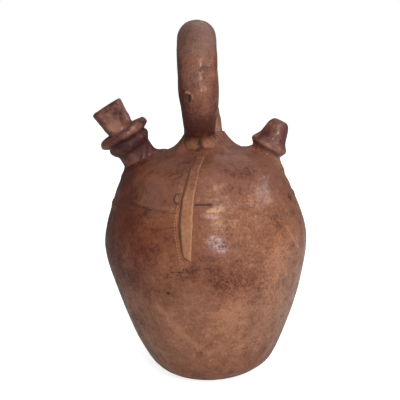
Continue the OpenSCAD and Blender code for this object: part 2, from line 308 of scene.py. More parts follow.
def join(name: str, parts: Sequence[bpy.types.Object]) -> bpy.types.Object:
    """Joins several objects into one, under a new name."""
    with bpy.context.temp_override(
        active_object=parts[0], object=parts[0], selected_editable_objects=list(parts)
    ):
        bpy.ops.object.join()
    parts[0].name = parts[0].data.name = name
    return parts[0]


# ---- the jug's form


@dataclass
class JugForm:
    """The outline of the covered body and the places of what stands on it."""

    body_d: float = 186.0
    widest_z: float = 125.0
    crown_h: float = 208.5
    foot_d: float = 80.0
    foot_h: float = 13.0
    seam_z: float = 165.0
    seam_step: float = 0.7
    hide: float = 1.9
    neck_lean: float = 5.0
    leg_seat: float = 17.0
    rear_shift: float = 4.5

    def __post_init__(self) -> None:
        """Works out the outline of the hide, from the base to the top of the crown."""
        foot = self.foot_d / 2
        knee = np.array([foot + 18.5, self.foot_h])
        waist = np.array([self.body_d / 2, self.widest_z])
        shoulder = np.array([self.body_d / 2 - 20, self.crown_h - 22.5])
        slope = np.array([-0.447, 0.894])
        crown = np.array([0.0, self.crown_h])
        toe = np.array([foot, 0.0]), np.array([foot + 6, 1.2])
        self.outline = np.vstack([
            bezier(*toe, knee - [3.7, 6.0], knee, 20),
            bezier(knee, knee + [10, 16], waist - [0, 33], waist, 80),
            bezier(waist, waist + [0, 18], shoulder - 20 * slope, shoulder, 60),
            bezier(shoulder, shoulder + 14 * slope, crown + [40, 0], crown, 80),
            crown[None, :],
        ])

    def radius(self, height: Array) -> Array:
        """Distance of the hide from the axis at a height."""
        return np.interp(height, self.outline[:, 1], self.outline[:, 0])

    def crown(self, radius: Array) -> Array:
        """Height of the shoulder's outer face at a distance from the axis."""
        upper = self.outline[self.outline[:, 1] > self.widest_z][::-1]
        return np.interp(radius, upper[:, 0], upper[:, 1])

    def rows(self, low: float, high: float, step: float) -> Array:
        """Outline points at even steps between two heights, as radius and height."""
        keep = self.outline[(self.outline[:, 1] > low) & (self.outline[:, 1] < high)]
        ends = [[self.radius(low), low]], [[self.radius(high), high]]
        line = np.vstack([ends[0], keep, ends[1]])
        way = lengths(line)
        return along(line, way, np.linspace(0, way[-1], max(int(way[-1] / step), 2) + 1))

    def place(self, azimuth: float, height: float) -> Array:
        """The point of the hide at an azimuth in degrees and a height."""
        turn = math.radians(azimuth)
        r = float(self.radius(height))
        return np.array([r * math.sin(turn), -r * math.cos(turn), height])

    def seat(self, distance: float, tilt: float) -> Matrix:
        """The frame of a neck whose foot stands at a distance along X, leaning out."""
        height = float(self.crown(abs(distance)))
        lean = Matrix.Rotation(math.radians(self.neck_lean), 4, "X")
        out = Matrix.Rotation(math.radians(tilt), 4, "Y")
        return Matrix.Translation((distance, 0.0, height)) @ lean @ out


def through(matrix: Matrix, points: Array) -> Array:
    """Points of an array moved by a matrix."""
    m = np.array(matrix)
    return points @ m[:3, :3].T + m[:3, 3]


# ---- marks on the hide


class Trace(Enum):
    """Kinds of marks on the hide: some that years of use left, some painted shade and painted highlights."""

    SLIT = "slit"
    CREASE = "crease"
    RIDGE = "ridge"
    STAIN = "stain"
    SCUFF = "scuff"
    HOLE = "hole"
    RUB_AND_HIGHLIGHT = "rub_and_highlight"
    BLUSH_AND_SHADE = "blush_and_shade"


@dataclass(frozen=True)
class Effect:
    """What a kind of mark does: lift in millimetres, and amounts of paint."""

    lift: float
    paint: dict[Layer, float]


# slits and creases darken as painted shade and ridges lighten as a painted highlight; rubs are wear and also
# painted highlights, blushes are colour and also painted shade
EFFECTS = {
    Trace.SLIT: Effect(-0.9, {Layer.GRIME_AND_SHADE: 1.0}),
    Trace.CREASE: Effect(-0.5, {Layer.GRIME_AND_SHADE: 0.35}),
    Trace.RIDGE: Effect(0.5, {Layer.TONE: 0.35}),
    Trace.STAIN: Effect(0.0, {Layer.GRIME_AND_SHADE: 0.6}),
    Trace.SCUFF: Effect(-0.1, {Layer.WEAR: 0.6}),
    Trace.HOLE: Effect(-0.8, {Layer.CLAY: 1.0}),
    Trace.RUB_AND_HIGHLIGHT: Effect(0.1, {Layer.TONE: 0.9, Layer.WEAR: 0.1}),
    Trace.BLUSH_AND_SHADE: Effect(0.0, {Layer.TONE: -0.6, Layer.RED: 0.8, Layer.GRIME_AND_SHADE: 0.1}),
}


@dataclass(frozen=True)
class Mark:
    """One mark: its kind, the corners of its path, its half width and its strength."""

    kind: Trace
    path: tuple[tuple[float, float], ...]
    width: float
    strength: float = 1.0

    def press(self, grid: Array, corners: Sequence[Array], paint: Paint) -> Array:
        """Paints the mark and tells how far it lifts the hide.

        Args:
            grid: the points of the hide.
            corners: the mark's corners in the jug's frame.
            paint: the hide's paint, added to.

        Returns:
            The lift at each point, in millimetres.
        """
        effect = EFFECTS[self.kind]
        mask = self.strength * bell(distance_to_path(grid, corners) / self.width)
        for layer, amount in effect.paint.items():
            paint.add(layer, amount * mask)
        return effect.lift * mask


@dataclass(frozen=True)
class Zone:
    """A soft patch of colour: its azimuth and height, its reach and what it adds."""

    azimuth: float
    height: float
    reach: float
    tone: float
    red: float = 0.0
    fleck: float = 0.0
    wear: float = 0.0

    def tint(self, grid: Array, centre: Array, paint: Paint) -> None:
        """Adds the patch to the paint, fading out from its centre."""
        mask = bell(np.linalg.norm(grid - centre, axis=-1) / self.reach)
        for layer in (Layer.TONE, Layer.RED, Layer.FLECK, Layer.WEAR):
            paint.add(layer, getattr(self, layer.value) * mask)


@dataclass(frozen=True)
class Swell:
    """A broad rise or hollow of the form: its place, its reach and its height."""

    azimuth: float
    height: float
    reach: float
    lift: float

    def raise_skin(self, grid: Array, centre: Array) -> Array:
        """How far the swell lifts each point of the hide."""
        return self.lift * bell(np.linalg.norm(grid - centre, axis=-1) / self.reach)


def stray_zones(count: int, seed: int) -> list[Zone]:
    """Soft patches over the sides and back, the same on each run."""
    draw = np.random.default_rng(seed)
    return [
        Zone(
            draw.uniform(95, 265), draw.uniform(15, 190), draw.uniform(14, 38),
            draw.uniform(-0.5, 0.4), draw.uniform(-0.5, 0.5), draw.uniform(0.0, 0.8),
        )
        for _ in range(count)
    ]


def stray_marks(count: int, seed: int) -> list[Mark]:
    """Small dots, rubbed lines and creases all over the hide, the same on each run."""
    draw = np.random.default_rng(seed)
    kinds = (Trace.STAIN, Trace.STAIN, Trace.BLUSH_AND_SHADE, Trace.RUB_AND_HIGHLIGHT, Trace.CREASE)
    marks = []
    for number in range(count):
        kind = kinds[number % len(kinds)]
        azimuth, height = draw.uniform(-180, 180), draw.uniform(12, 200)
        path = [(azimuth, height)]
        if kind in (Trace.RUB_AND_HIGHLIGHT, Trace.CREASE):
            path.append((azimuth + draw.uniform(-7, 7), height + draw.uniform(-5, 5)))
        width = draw.uniform(2.5, 6.0) if kind is Trace.BLUSH_AND_SHADE else draw.uniform(0.7, 1.3)
        marks.append(Mark(kind, tuple(path), width, draw.uniform(0.25, 0.6)))
    return marks


# ---- shader nodes

Colour = tuple[float, float, float]
FLOAT, COLOUR = "NodeSocketFloat", "NodeSocketColor"


class Sheet:
    """Adds nodes to one node tree and joins them."""

    def __init__(self, tree: bpy.types.NodeTree) -> None:
        """Starts on a tree."""
        self.tree = tree

    def add(
        self, kind: str, values: Optional[dict[object, object]] = None, **settings: object
    ) -> bpy.types.Node:
        """Adds a node.

        Args:
            kind: the node's type.
            values: what goes into its sockets, by name or number.
            settings: its properties.

        Returns:
            The node.
        """
        node = self.tree.nodes.new(kind)
        for key, value in settings.items():
            setattr(node, key, value)
        self.feed(node, values or {})
        return node

    def feed(self, node: bpy.types.Node, values: dict[object, object]) -> None:
        """Sets a node's sockets to numbers or colours, or links them to wires."""
        for key, value in values.items():
            if isinstance(value, Wire):
                self.tree.links.new(value.socket, node.inputs[key])
            else:
                node.inputs[key].default_value = value

    def wires(self, node: bpy.types.Node) -> dict[str, "Wire"]:
        """A node's outputs by name."""
        return {socket.name: Wire(self, socket) for socket in node.outputs}

    def math(self, operation: str, a: object, b: object) -> "Wire":
        """The result of an operation on two values."""
        node = self.add("ShaderNodeMath", {0: a, 1: b}, operation=operation)
        return Wire(self, node.outputs[0])

    def mix(self, a: object, b: object, factor: object) -> "Wire":
        """Colour a with some of colour b mixed in."""
        node = self.add("ShaderNodeMix", {0: factor, 6: a, 7: b}, data_type="RGBA")
        return Wire(self, node.outputs[2])

    def layer(self, layer: Layer) -> "Wire":
        """A painted layer of the hide."""
        return self.wires(self.add("ShaderNodeAttribute", attribute_name=layer.value))["Fac"]

    def places(self) -> "Wire":
        """Places in the jug's frame, in metres."""
        return self.wires(self.add("ShaderNodeTexCoord"))["Object"]

    def noise(self, size: object, detail: float = 3.0, rough: float = 0.55) -> "Wire":
        """Cloudy noise, 0 to 1, with lumps about so many millimetres wide."""
        values = {"Vector": self.places(), "Scale": 1 / MM / size}
        values |= {"Detail": detail, "Roughness": rough}
        return Wire(self, self.add("ShaderNodeTexNoise", values).outputs["Fac"])


@dataclass(frozen=True)
class Wire:
    """A value that comes out of a node, so that a sum of nodes is written as a sum."""

    sheet: Sheet
    socket: bpy.types.NodeSocket

    def __add__(self, other: object) -> "Wire":
        """The sum."""
        return self.sheet.math("ADD", self, other)

    def __sub__(self, other: object) -> "Wire":
        """The difference."""
        return self.sheet.math("SUBTRACT", self, other)

    def __rsub__(self, other: object) -> "Wire":
        """The difference from a number."""
        return self.sheet.math("SUBTRACT", other, self)

    def __mul__(self, other: object) -> "Wire":
        """The product."""
        return self.sheet.math("MULTIPLY", self, other)

    def __rtruediv__(self, other: object) -> "Wire":
        """A number divided by the value."""
        return self.sheet.math("DIVIDE", other, self)

    def held(self) -> "Wire":
        """The value of a sum held between 0 and 1."""
        self.socket.node.use_clamp = True
        return self

    def ramp(self, low: float, high: float) -> "Wire":
        """The value spread so that low becomes 0 and high becomes 1, held between."""
        values = {"Value": self, "From Min": low, "From Max": high}
        node = self.sheet.add("ShaderNodeMapRange", values, interpolation_type="SMOOTHSTEP")
        return Wire(self.sheet, node.outputs["Result"])


def new_group(
    name: str, inputs: dict[str, object], outputs: dict[str, str]
) -> tuple[Sheet, dict[str, Wire], bpy.types.Node]:
    """Starts a shader node group.

    Args:
        name: the group's name.
        inputs: the name and first value of each input.
        outputs: the name and socket type of each output.

    Returns:
        The group's sheet, its inputs as wires, and its output node.
    """
    tree = bpy.data.node_groups.new(name, "ShaderNodeTree")
    for label, value in inputs.items():
        kind = COLOUR if isinstance(value, tuple) else FLOAT
        tree.interface.new_socket(label, in_out="INPUT", socket_type=kind).default_value = value
    for label, kind in outputs.items():
        tree.interface.new_socket(label, in_out="OUTPUT", socket_type=kind)
    sheet = Sheet(tree)
    return sheet, sheet.wires(sheet.add("NodeGroupInput")), sheet.add("NodeGroupOutput")


def grain_group() -> bpy.types.NodeTree:
    """The pebbled grain of the hide: its height and the dark lines between pebbles."""
    sheet, given, made = new_group(
        "hide_grain", {"Pebble": 1.4, "Wrinkle": 0.4}, {"Height": FLOAT, "Lines": FLOAT}
    )
    bend_scale, bend_reach = 260.0, 1.6 * MM
    where = sheet.places()
    bend = sheet.add("ShaderNodeTexNoise", {"Vector": where, "Scale": bend_scale})
    shift = {0: sheet.wires(bend)["Color"], 1: (bend_reach,) * 3, 2: where}
    moved = sheet.wires(sheet.add("ShaderNodeVectorMath", shift, operation="MULTIPLY_ADD"))
    values = {"Vector": moved["Vector"], "Scale": 1 / MM / given["Pebble"]}
    cells = sheet.add("ShaderNodeTexVoronoi", values, feature="DISTANCE_TO_EDGE")
    pebble = sheet.wires(cells)["Distance"].ramp(0.0, 0.32)
    fine = sheet.noise(given["Pebble"] * 0.55, 4.0, 0.6)
    broad = sheet.noise(given["Pebble"] * 5.0)
    height = pebble * 0.55 + fine * 0.45 + broad * given["Wrinkle"]
    lines = (1.0 - pebble) * broad.ramp(0.42, 0.62)
    sheet.feed(made, {"Height": height, "Lines": lines})
    return sheet.tree


def patina_group() -> bpy.types.NodeTree:
    """The mottled colour of old tanned hide, from its paint and noise of three sizes."""
    sheet, given, made = new_group(
        "hide_patina",
        {
            "Dark": (0.1, 0.04, 0.03, 1.0), "Middle": (0.25, 0.1, 0.06, 1.0),
            "Light": (0.4, 0.2, 0.12, 1.0), "Red": (0.2, 0.05, 0.03, 1.0),
            "Grey": (0.25, 0.17, 0.13, 1.0), "Raw": (0.5, 0.3, 0.17, 1.0),
            "Clay": (0.4, 0.42, 0.3, 1.0), "Blotch": 26.0, "Fleck": 2.2, "Lines": 0.0,
        },
        {"Color": COLOUR, "Shade": FLOAT, "Wet": FLOAT},
    )
    grime_and_shade_colour = (0.02, 0.012, 0.012, 1.0)
    tone, red, wear, grime_and_shade, clay, speckled = (sheet.layer(layer) for layer in Layer)
    cloud = sheet.noise(given["Blotch"] * 0.3, 4.0, 0.65)
    fleck = sheet.noise(given["Fleck"], 4.0, 0.7)
    dots = sheet.noise(given["Fleck"] * 0.8, 2.0, 0.6).ramp(0.52, 0.68) * (speckled * 0.34)
    shade = (sheet.noise(given["Blotch"], 4.0, 0.6) - 0.5) * 0.9 + (cloud - 0.5) * 0.95
    shade += (fleck - 0.5) * (speckled * 0.7 + 0.95)
    shade = (shade - dots + tone * 0.5 - given["Lines"] * 0.18 + 0.5).held()
    colour = sheet.mix(given["Dark"], given["Middle"], shade.ramp(0.05, 0.5))
    colour = sheet.mix(colour, given["Light"], shade.ramp(0.5, 0.98))
    drift = (sheet.noise(40.0, 2.0) - 0.5) * 1.2 + red
    colour = sheet.mix(colour, given["Red"], (drift * 0.55).held())
    colour = sheet.mix(colour, given["Grey"], (drift * -0.55).held())
    # near-black mixed in for grime and for painted shade
    grime_and_shade_paint = (grime_and_shade * 0.5 + grime_and_shade.ramp(0.4, 0.6) * 0.45).held()
    colour = sheet.mix(colour, grime_and_shade_colour, grime_and_shade_paint)
    frayed = (wear + (cloud - 0.5) * 0.5).ramp(0.2, 0.75) * wear.ramp(0.02, 0.3)
    colour = sheet.mix(colour, given["Raw"], frayed)
    colour = sheet.mix(colour, given["Clay"], clay.ramp(0.35, 0.7))
    wet = (1.0 - sheet.math("MAXIMUM", frayed, grime_and_shade_paint)).held()
    sheet.feed(made, {"Color": colour, "Shade": shade, "Wet": wet})
    return sheet.tree


def speck_group() -> bpy.types.NodeTree:
    """Dust, pits and stains on bare clay or wood."""
    sheet, given, made = new_group(
        "bare_specks",
        {"Ground": (0.4, 0.36, 0.28, 1.0), "Stain": (0.25, 0.2, 0.15, 1.0), "Size": 4.0},
        {"Color": COLOUR, "Height": FLOAT},
    )
    cloud = sheet.noise(given["Size"], 5.0, 0.65)
    pits = sheet.noise(given["Size"] * 0.2, 3.0, 0.6)
    colour = sheet.mix(given["Ground"], given["Stain"], cloud.ramp(0.4, 0.7))
    colour = sheet.mix(colour, given["Stain"], pits.ramp(0.62, 0.72) * 0.5)
    sheet.feed(made, {"Color": colour, "Height": cloud + pits})
    return sheet.tree


@dataclass
class ShaderGroups:
    """The node groups that several materials share, each built once."""

    grain: bpy.types.NodeTree = field(default_factory=grain_group)
    patina: bpy.types.NodeTree = field(default_factory=patina_group)
    specks: bpy.types.NodeTree = field(default_factory=speck_group)


def new_material(name: str) -> tuple[bpy.types.Material, Sheet, bpy.types.Node]:
    """A material with its sheet and its Principled shader."""
    material = bpy.data.materials.new(name)
    material.use_nodes = True
    return material, Sheet(material.node_tree), material.node_tree.nodes["Principled BSDF"]


def place_group(
    sheet: Sheet, tree: bpy.types.NodeTree, values: dict[str, object]
) -> dict[str, Wire]:
    """Puts a group into a material, with its own values, and gives its outputs."""
    return sheet.wires(sheet.add("ShaderNodeGroup", values, node_tree=tree))


def relief(sheet: Sheet, height: Wire, depth: float, strength: float) -> Wire:
    """The normal of a surface with relief so many millimetres deep."""
    values = {"Strength": strength, "Distance": depth * MM, "Height": height}
    return sheet.wires(sheet.add("ShaderNodeBump", values))["Normal"]


@dataclass(frozen=True)
class HideFinish:
    """A leather finish: its colours, the size of its grain and its shine."""

    name: str
    dark: Colour
    middle: Colour
    light: Colour
    red: Colour
    grey: Colour
    raw: Colour = (0.42, 0.21, 0.11)
    clay: Colour = (0.27, 0.26, 0.18)
    blotch: float = 26.0
    fleck: float = 2.2
    pebble: float = 1.3
    depth: float = 0.36
    rough: float = 0.4
    shine: float = 0.62

    def material(self, groups: ShaderGroups) -> bpy.types.Material:
        """Builds the finish as a material."""
        material, sheet, shader = new_material(self.name)
        grain = place_group(sheet, groups.grain, {"Pebble": self.pebble, "Wrinkle": 0.5})
        values = {"Blotch": self.blotch, "Fleck": self.fleck, "Lines": grain["Lines"]}
        for label in ("Dark", "Middle", "Light", "Red", "Grey", "Raw", "Clay"):
            values[label] = (*getattr(self, label.lower()), 1.0)
        patina = place_group(sheet, groups.patina, values)
        matt = patina["Wet"] * -0.2 + (self.rough + 0.2)
        sheet.feed(shader, {
            "Base Color": patina["Color"],
            "Roughness": matt + grain["Lines"] * 0.15,
            "Coat Weight": patina["Wet"] * patina["Shade"].ramp(0.2, 0.8) * self.shine,
            "Coat Roughness": 0.22,
            "Specular IOR Level": 0.34,
            "Normal": relief(sheet, grain["Height"], self.depth, 0.8),
        })
        return material


@dataclass(frozen=True)
class BareFinish:
    """A dry, uncovered finish such as fired clay or wood."""

    name: str
    ground: Colour
    stain: Colour
    speck: float = 4.0
    depth: float = 0.15
    rough: float = 0.85

    def material(self, groups: ShaderGroups) -> bpy.types.Material:
        """Builds the finish as a material."""
        material, sheet, shader = new_material(self.name)
        ground, stain = (*self.ground, 1.0), (*self.stain, 1.0)
        values = {"Ground": ground, "Stain": stain, "Size": self.speck}
        specks = place_group(sheet, groups.specks, values)
        sheet.feed(shader, {
            "Base Color": specks["Color"],
            "Roughness": self.rough,
            "Specular IOR Level": 0.3,
            "Normal": relief(sheet, specks["Height"], self.depth, 0.6),
        })
        return material


class Finish(Enum):
    """The finishes of the jug."""

    BELLY = HideFinish(
        "belly_hide",
        dark=(0.072, 0.02, 0.011), middle=(0.228, 0.08, 0.037), light=(0.4, 0.165, 0.077),
        red=(0.16, 0.03, 0.014), grey=(0.24, 0.135, 0.095),
    )
    SHOULDER = HideFinish(
        "shoulder_hide",
        dark=(0.07, 0.021, 0.015), middle=(0.208, 0.076, 0.042), light=(0.38, 0.168, 0.088),
        red=(0.15, 0.032, 0.018), grey=(0.22, 0.13, 0.108), shine=0.4,
    )
    NECK = HideFinish(
        "neck_hide",
        dark=(0.046, 0.015, 0.014), middle=(0.168, 0.062, 0.041), light=(0.35, 0.165, 0.105),
        red=(0.115, 0.027, 0.03), grey=(0.17, 0.1, 0.095), blotch=12.0, pebble=1.0,
    )
    RAW_EDGE = HideFinish(
        "raw_edge_hide",
        dark=(0.13, 0.055, 0.032), middle=(0.31, 0.14, 0.072), light=(0.45, 0.23, 0.12),
        red=(0.2, 0.06, 0.035), grey=(0.28, 0.17, 0.12), blotch=9.0, pebble=0.9,
        rough=0.56, shine=0.05,
    )
    CLAY = BareFinish("fired_clay", ground=(0.34, 0.27, 0.18), stain=(0.17, 0.12, 0.08))
    SOAKED = BareFinish("soaked_clay", ground=(0.2, 0.105, 0.075), stain=(0.11, 0.056, 0.042))
    WOOD = BareFinish(
        "stopper_wood", ground=(0.3, 0.17, 0.09), stain=(0.14, 0.07, 0.035), speck=2.0
    )


@dataclass
class Wardrobe:
    """All materials, ready to be put on pieces."""

    groups: ShaderGroups = field(default_factory=ShaderGroups)

    def __post_init__(self) -> None:
        """Builds a material for each finish."""
        self.made = {finish: finish.value.material(self.groups) for finish in Finish}

    def dress(
        self, piece: bpy.types.Object, finish: Finish, body: str, nodes: Sequence[str] = ()
    ) -> None:
        """Finishes a new piece and lets it ride.

        Args:
            piece: the piece.
            finish: what it is finished with.
            body: the CAD body it rides on.
            nodes: the CAD nodes it stands for.
        """
        piece.data.materials.append(self.made[finish])
        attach(piece, body)
        if nodes:
            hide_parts(*nodes)
        LOG.info("%s: %d faces, rides on %s", piece.name, len(piece.data.polygons), body)

    def dress_node(self, node: str, finish: Finish) -> None:
        """Gives a CAD node that stays in view its own material."""
        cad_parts[node].material_slots[0].material = self.made[finish]
        LOG.info("%s: kept from the CAD model", node)


# ---- body hide


@dataclass
class BodyHide:
    """The hide on the jar: belly, shoulder, base disc and the two dart strips."""

    form: JugForm
    front_columns: int = 300
    back_columns: int = 160
    front_arc: float = 170.0
    step: float = 0.95
    seam_roll: float = 6.0
    rise_high: float = 13.0
    rise_front: float = 4.0
    rise_reach: float = 19.0
    foot_half_w: tuple[float, float] = (15.2, 18.6)
    foot_half_t: float = 11.0
    blend: float = 6.0
    marks: tuple[Mark, ...] = (
        # slits and creases here are darkened as painted shade, the rub above the shoulder crease is a pale band
        # of painted light
        Mark(Trace.SLIT, ((-5.4, 171.7), (0.0, 171.6), (3.5, 171.2)), 0.8, 0.95),
        Mark(Trace.CREASE, ((-50.0, 170.6), (-37.0, 168.2), (-26.3, 166.6), (-16.3, 166.0)), 0.9, 1.2),
        Mark(Trace.RUB_AND_HIGHLIGHT, ((-47.0, 172.8), (-36.0, 171.0), (-26.3, 169.6), (-18.0, 169.0)), 1.6, 0.4),
        Mark(Trace.CREASE, ((-31.0, 152.4), (-22.1, 153.9), (-16.8, 155.6)), 1.1, 1.1),
        Mark(Trace.SLIT, ((-8.5, 149.5), (-5.0, 148.0)), 0.5, 0.6),
        Mark(Trace.SLIT, ((-19.0, 120.0), (-12.8, 120.2), (-12.4, 123.0)), 0.5, 0.75),
        Mark(Trace.STAIN, ((-23.2, 102.8), (-21.8, 101.0)), 2.0, 0.8),
        Mark(Trace.STAIN, ((63.4, 167.2), (62.9, 163.0)), 1.2, 1.8),
        Mark(Trace.BLUSH_AND_SHADE, ((66.0, 178.6), (64.4, 176.6)), 2.6, 0.5),
        Mark(Trace.BLUSH_AND_SHADE, ((41.5, 146.9),), 3.6, 0.6),
        Mark(Trace.BLUSH_AND_SHADE, ((58.7, 151.7),), 3.4, 0.5),
        Mark(Trace.STAIN, ((11.7, 125.6),), 2.2, 0.7),
        Mark(Trace.STAIN, ((13.6, 103.4),), 1.8, 0.5),
        Mark(Trace.STAIN, ((6.2, 98.6),), 1.9, 0.9),
        Mark(Trace.STAIN, ((34.5, 29.3),), 1.3, 1.0),
        Mark(Trace.STAIN, ((28.0, 33.0),), 1.1, 0.7),
        Mark(Trace.STAIN, ((-55.0, 80.0), (-54.0, 77.5)), 1.3, 1.0),
        Mark(Trace.STAIN, ((30.0, 48.0), (33.0, 50.0)), 1.6, 0.5),
        Mark(Trace.SCUFF, ((-2.3, 31.5),), 2.3, 0.8),
        Mark(Trace.STAIN, ((-5.6, 206.2),), 3.2, 1.1),
        Mark(Trace.HOLE, ((-5.2, 206.0),), 1.0, 0.9),
        Mark(
            Trace.STAIN,
            ((-15.4, 172.4), (-17.4, 173.8), (-18.2, 176.6), (-17.0, 179.8), (-14.6, 180.4)),
            0.9, 1.2,
        ),
        Mark(Trace.RUB_AND_HIGHLIGHT, ((-16.1, 178.0), (-15.9, 175.0)), 1.5, 0.55),
        Mark(Trace.HOLE, ((-16.0, 176.4),), 1.3, 0.4),
        # raised ridges lightened as painted highlights
        Mark(Trace.RIDGE, ((20.0, 169.0), (42.0, 167.4)), 5.0, 0.5),
        Mark(Trace.SLIT, ((54.0, 194.9), (58.0, 193.0), (63.7, 189.8), (67.0, 187.2)), 0.35, 0.5),
        Mark(Trace.RIDGE, ((-15.4, 172.0), (-16.4, 157.1), (-15.8, 149.6), (-13.2, 128.7)), 0.9, 0.8),
        Mark(Trace.CREASE, ((150.0, 168.0), (172.0, 166.0)), 0.9, 0.6),
        Mark(Trace.RUB_AND_HIGHLIGHT, ((-31.0, 91.0), (-19.0, 64.0)), 4.6, 0.4),
        Mark(Trace.RUB_AND_HIGHLIGHT, ((-17.0, 60.0), (-3.0, 39.0)), 3.6, 0.5),
        Mark(Trace.RUB_AND_HIGHLIGHT, ((-43.0, 90.0), (-25.0, 48.0)), 3.2, 0.25),
        Mark(Trace.RUB_AND_HIGHLIGHT, ((48.7, 143.5), (55.8, 124.5)), 2.2, 0.8),
        Mark(Trace.STAIN, ((-35.6, 71.4), (-34.4, 68.8)), 1.9, 0.9),
        Mark(Trace.STAIN, ((-21.5, 101.1),), 1.7, 0.7),
        Mark(Trace.STAIN, ((-61.8, 93.0), (-61.5, 90.5)), 1.3, 0.7),
        Mark(Trace.STAIN, ((14.7, 62.6),), 1.5, 0.6),
        Mark(Trace.STAIN, ((16.1, 29.3),), 1.3, 0.9),
        Mark(Trace.STAIN, ((11.2, 35.3),), 1.8, 0.5),
        Mark(Trace.STAIN, ((25.4, 33.1),), 1.2, 0.8),
        Mark(Trace.STAIN, ((-0.9, 39.5),), 1.3, 0.7),
        Mark(Trace.STAIN, ((41.0, 14.7),), 2.4, 0.7),
        Mark(Trace.STAIN, ((-6.8, 18.2), (-1.0, 17.9)), 1.1, 0.6),
        Mark(
            Trace.STAIN,
            ((29.2, 99.0), (31.5, 101.8), (35.0, 101.0), (36.2, 97.0), (33.5, 93.6), (30.2, 94.6), (29.2, 99.0)),
            0.8, 0.3,
        ),
        Mark(Trace.STAIN, ((205.0, 120.0),), 2.4, 0.7),
        Mark(Trace.STAIN, ((128.0, 70.0), (131.0, 66.0)), 1.6, 0.7),
        Mark(Trace.SLIT, ((232.0, 140.0), (237.0, 138.0)), 0.6, 0.6),
    )
    zones: tuple[Zone, ...] = (
        # redder hide on the left belly, also darkened as painted shade on the side away from the lamps
        Zone(-75, 125, 46, -0.85, 0.8),
        Zone(-35, 118, 22, -0.1, 0.35),
        Zone(-38, 150, 30, -0.25, 0.5),
        Zone(-30, 185, 30, 0.0, 0.1),
        Zone(-33, 177, 13, 0.2, -0.8),
        Zone(-30, 161, 8, 0.2, -0.5),
        Zone(-54, 172, 15, -0.25, 0.5),
        Zone(-40, 60, 40, 0.1, -0.1),
        Zone(0, 55, 48, 0.45, -0.2, 0.3),
        Zone(35, 90, 42, 0.35, -0.15, 0.5),
        Zone(6, 160, 20, 0.4, 0.1, 0.2),
        Zone(35, 145, 36, 0.25, 0.0, 0.7),
        Zone(46, 127, 20, 0.35, -0.1, 0.3, 0.22),
        Zone(31, 172, 12, 0.2, 0.0, 0.3, 0.2),
        Zone(17, 108, 20, -0.15, 0.2, 0.2),
        Zone(5, 120, 20, -0.3, 0.25, 0.15),
        Zone(-8, 121, 9, -0.4, 0.2),
        Zone(38, 176, 14, 0.2, -0.5, 0.3),
        Zone(15, 190, 24, 0.0, 0.15),
        Zone(75, 140, 34, 0.1, 0.0, 0.5),
        Zone(22, 186, 17, -0.2, 0.15),
        Zone(80, 190, 16, 0.35, 0.0, 0.2),
        Zone(-18, 200, 20, -0.2, 0.0),
        Zone(0, 15, 26, -0.15, 0.1, 0.3),
        # darker and redder at the left of the shoulder, partly painted shade
        Zone(-90, 199, 27, -0.8, 0.5),
        Zone(90, 198, 25, 0.3, -0.3, 0.3),
        Zone(-62, 185, 14, -0.3, 0.4),
        Zone(-48, 40, 22, -0.15, -0.3, 0.4),
        Zone(12, 75, 14, 0.35, -0.1, 0.3),
        Zone(52, 70, 24, 0.2, -0.3, 0.6),
        Zone(22, 40, 16, 0.2, 0.1, 0.4),
    )

    swells: tuple[Swell, ...] = (
        Swell(-90, 35, 34, 1.6),
        Swell(-90, 88, 30, -0.7),
        Swell(88, 172, 20, -1.2),
        Swell(-92, 205.5, 15, 1.8),
    )

    def azimuths(self) -> Array:
        """Angles of the grid's columns, closer together at the front, in degrees."""
        half = self.front_arc / 2
        front = np.linspace(-half, half, self.front_columns, endpoint=False)
        back = np.linspace(half, 360 - half, self.back_columns, endpoint=False)
        return np.concatenate([front, back])

    def turned(self, rows: Array) -> Array:
        """The grid that a line of radius and height sweeps out."""
        turn = np.radians(self.azimuths())
        r, z = rows[:, :1], rows[:, 1:]
        flat = np.broadcast_to(z, (len(rows), len(turn)))
        return np.stack([r * np.sin(turn), -r * np.cos(turn), flat], -1)

    def patina(self, grid: Array, paint: Paint) -> Array:
        """Paints zones and marks, and tells how far the marks lift the hide."""
        for zone in (*self.zones, *stray_zones(16, 5)):
            zone.tint(grid, self.form.place(zone.azimuth, zone.height), paint)
        lift = np.zeros(grid.shape[:2])
        for mark in (*self.marks, *stray_marks(150, 6)):
            corners = [self.form.place(a, z) for a, z in mark.path]
            lift += mark.press(grid, corners, paint)
        return lift

    def lumps(self, grid: Array) -> Array:
        """The slow unevenness of hand-formed clay and hide, in millimetres."""
        slow = 0.4 * waves(grid, 34, 11)
        for swell in self.swells:
            slow += swell.raise_skin(grid, self.form.place(swell.azimuth, swell.height))
        quick = 0.07 * waves(grid, 9, 12) + 0.04 * waves(grid, 3.2, 13)
        return slow + quick

    def dress(self, wardrobe: Wardrobe, necks: Sequence["Neck"]) -> None:
        """Builds and finishes every piece of the body hide."""
        self.belly(wardrobe)
        self.shoulder(wardrobe, necks)
        self.base(wardrobe)
        for side, label in ((-1, "front"), (1, "rear")):
            self.strip(wardrobe, side, label)

    def belly(self, wardrobe: Wardrobe) -> None:
        """The belly hide, from the base up to the seam, its top edge standing proud."""
        rows = self.form.rows(0.0, self.form.seam_z, self.step)
        rows[0, 0] += 0.3
        grid = self.turned(rows)
        normal = grid_normals(grid, True)
        paint = Paint()
        lift = self.patina(grid, paint) + self.lumps(grid)
        seam = self.form.seam_z - grid[..., 2]
        lift += self.form.seam_step * ease(1 - seam / self.seam_roll)
        lift *= ease(grid[..., 2] / 9.0)
        paint.add(Layer.WEAR, 0.35 * bell(seam / 0.9))
        paint.add(Layer.GRIME_AND_SHADE, 0.3 * bell(grid[..., 2] / 4.0))
        outer = grid + normal * lift[..., None]
        piece = hide_mesh("belly_hide", outer, grid - normal * self.form.hide, paint)
        wardrobe.dress(piece, Finish.BELLY, "vessel", ["belly_leather"])

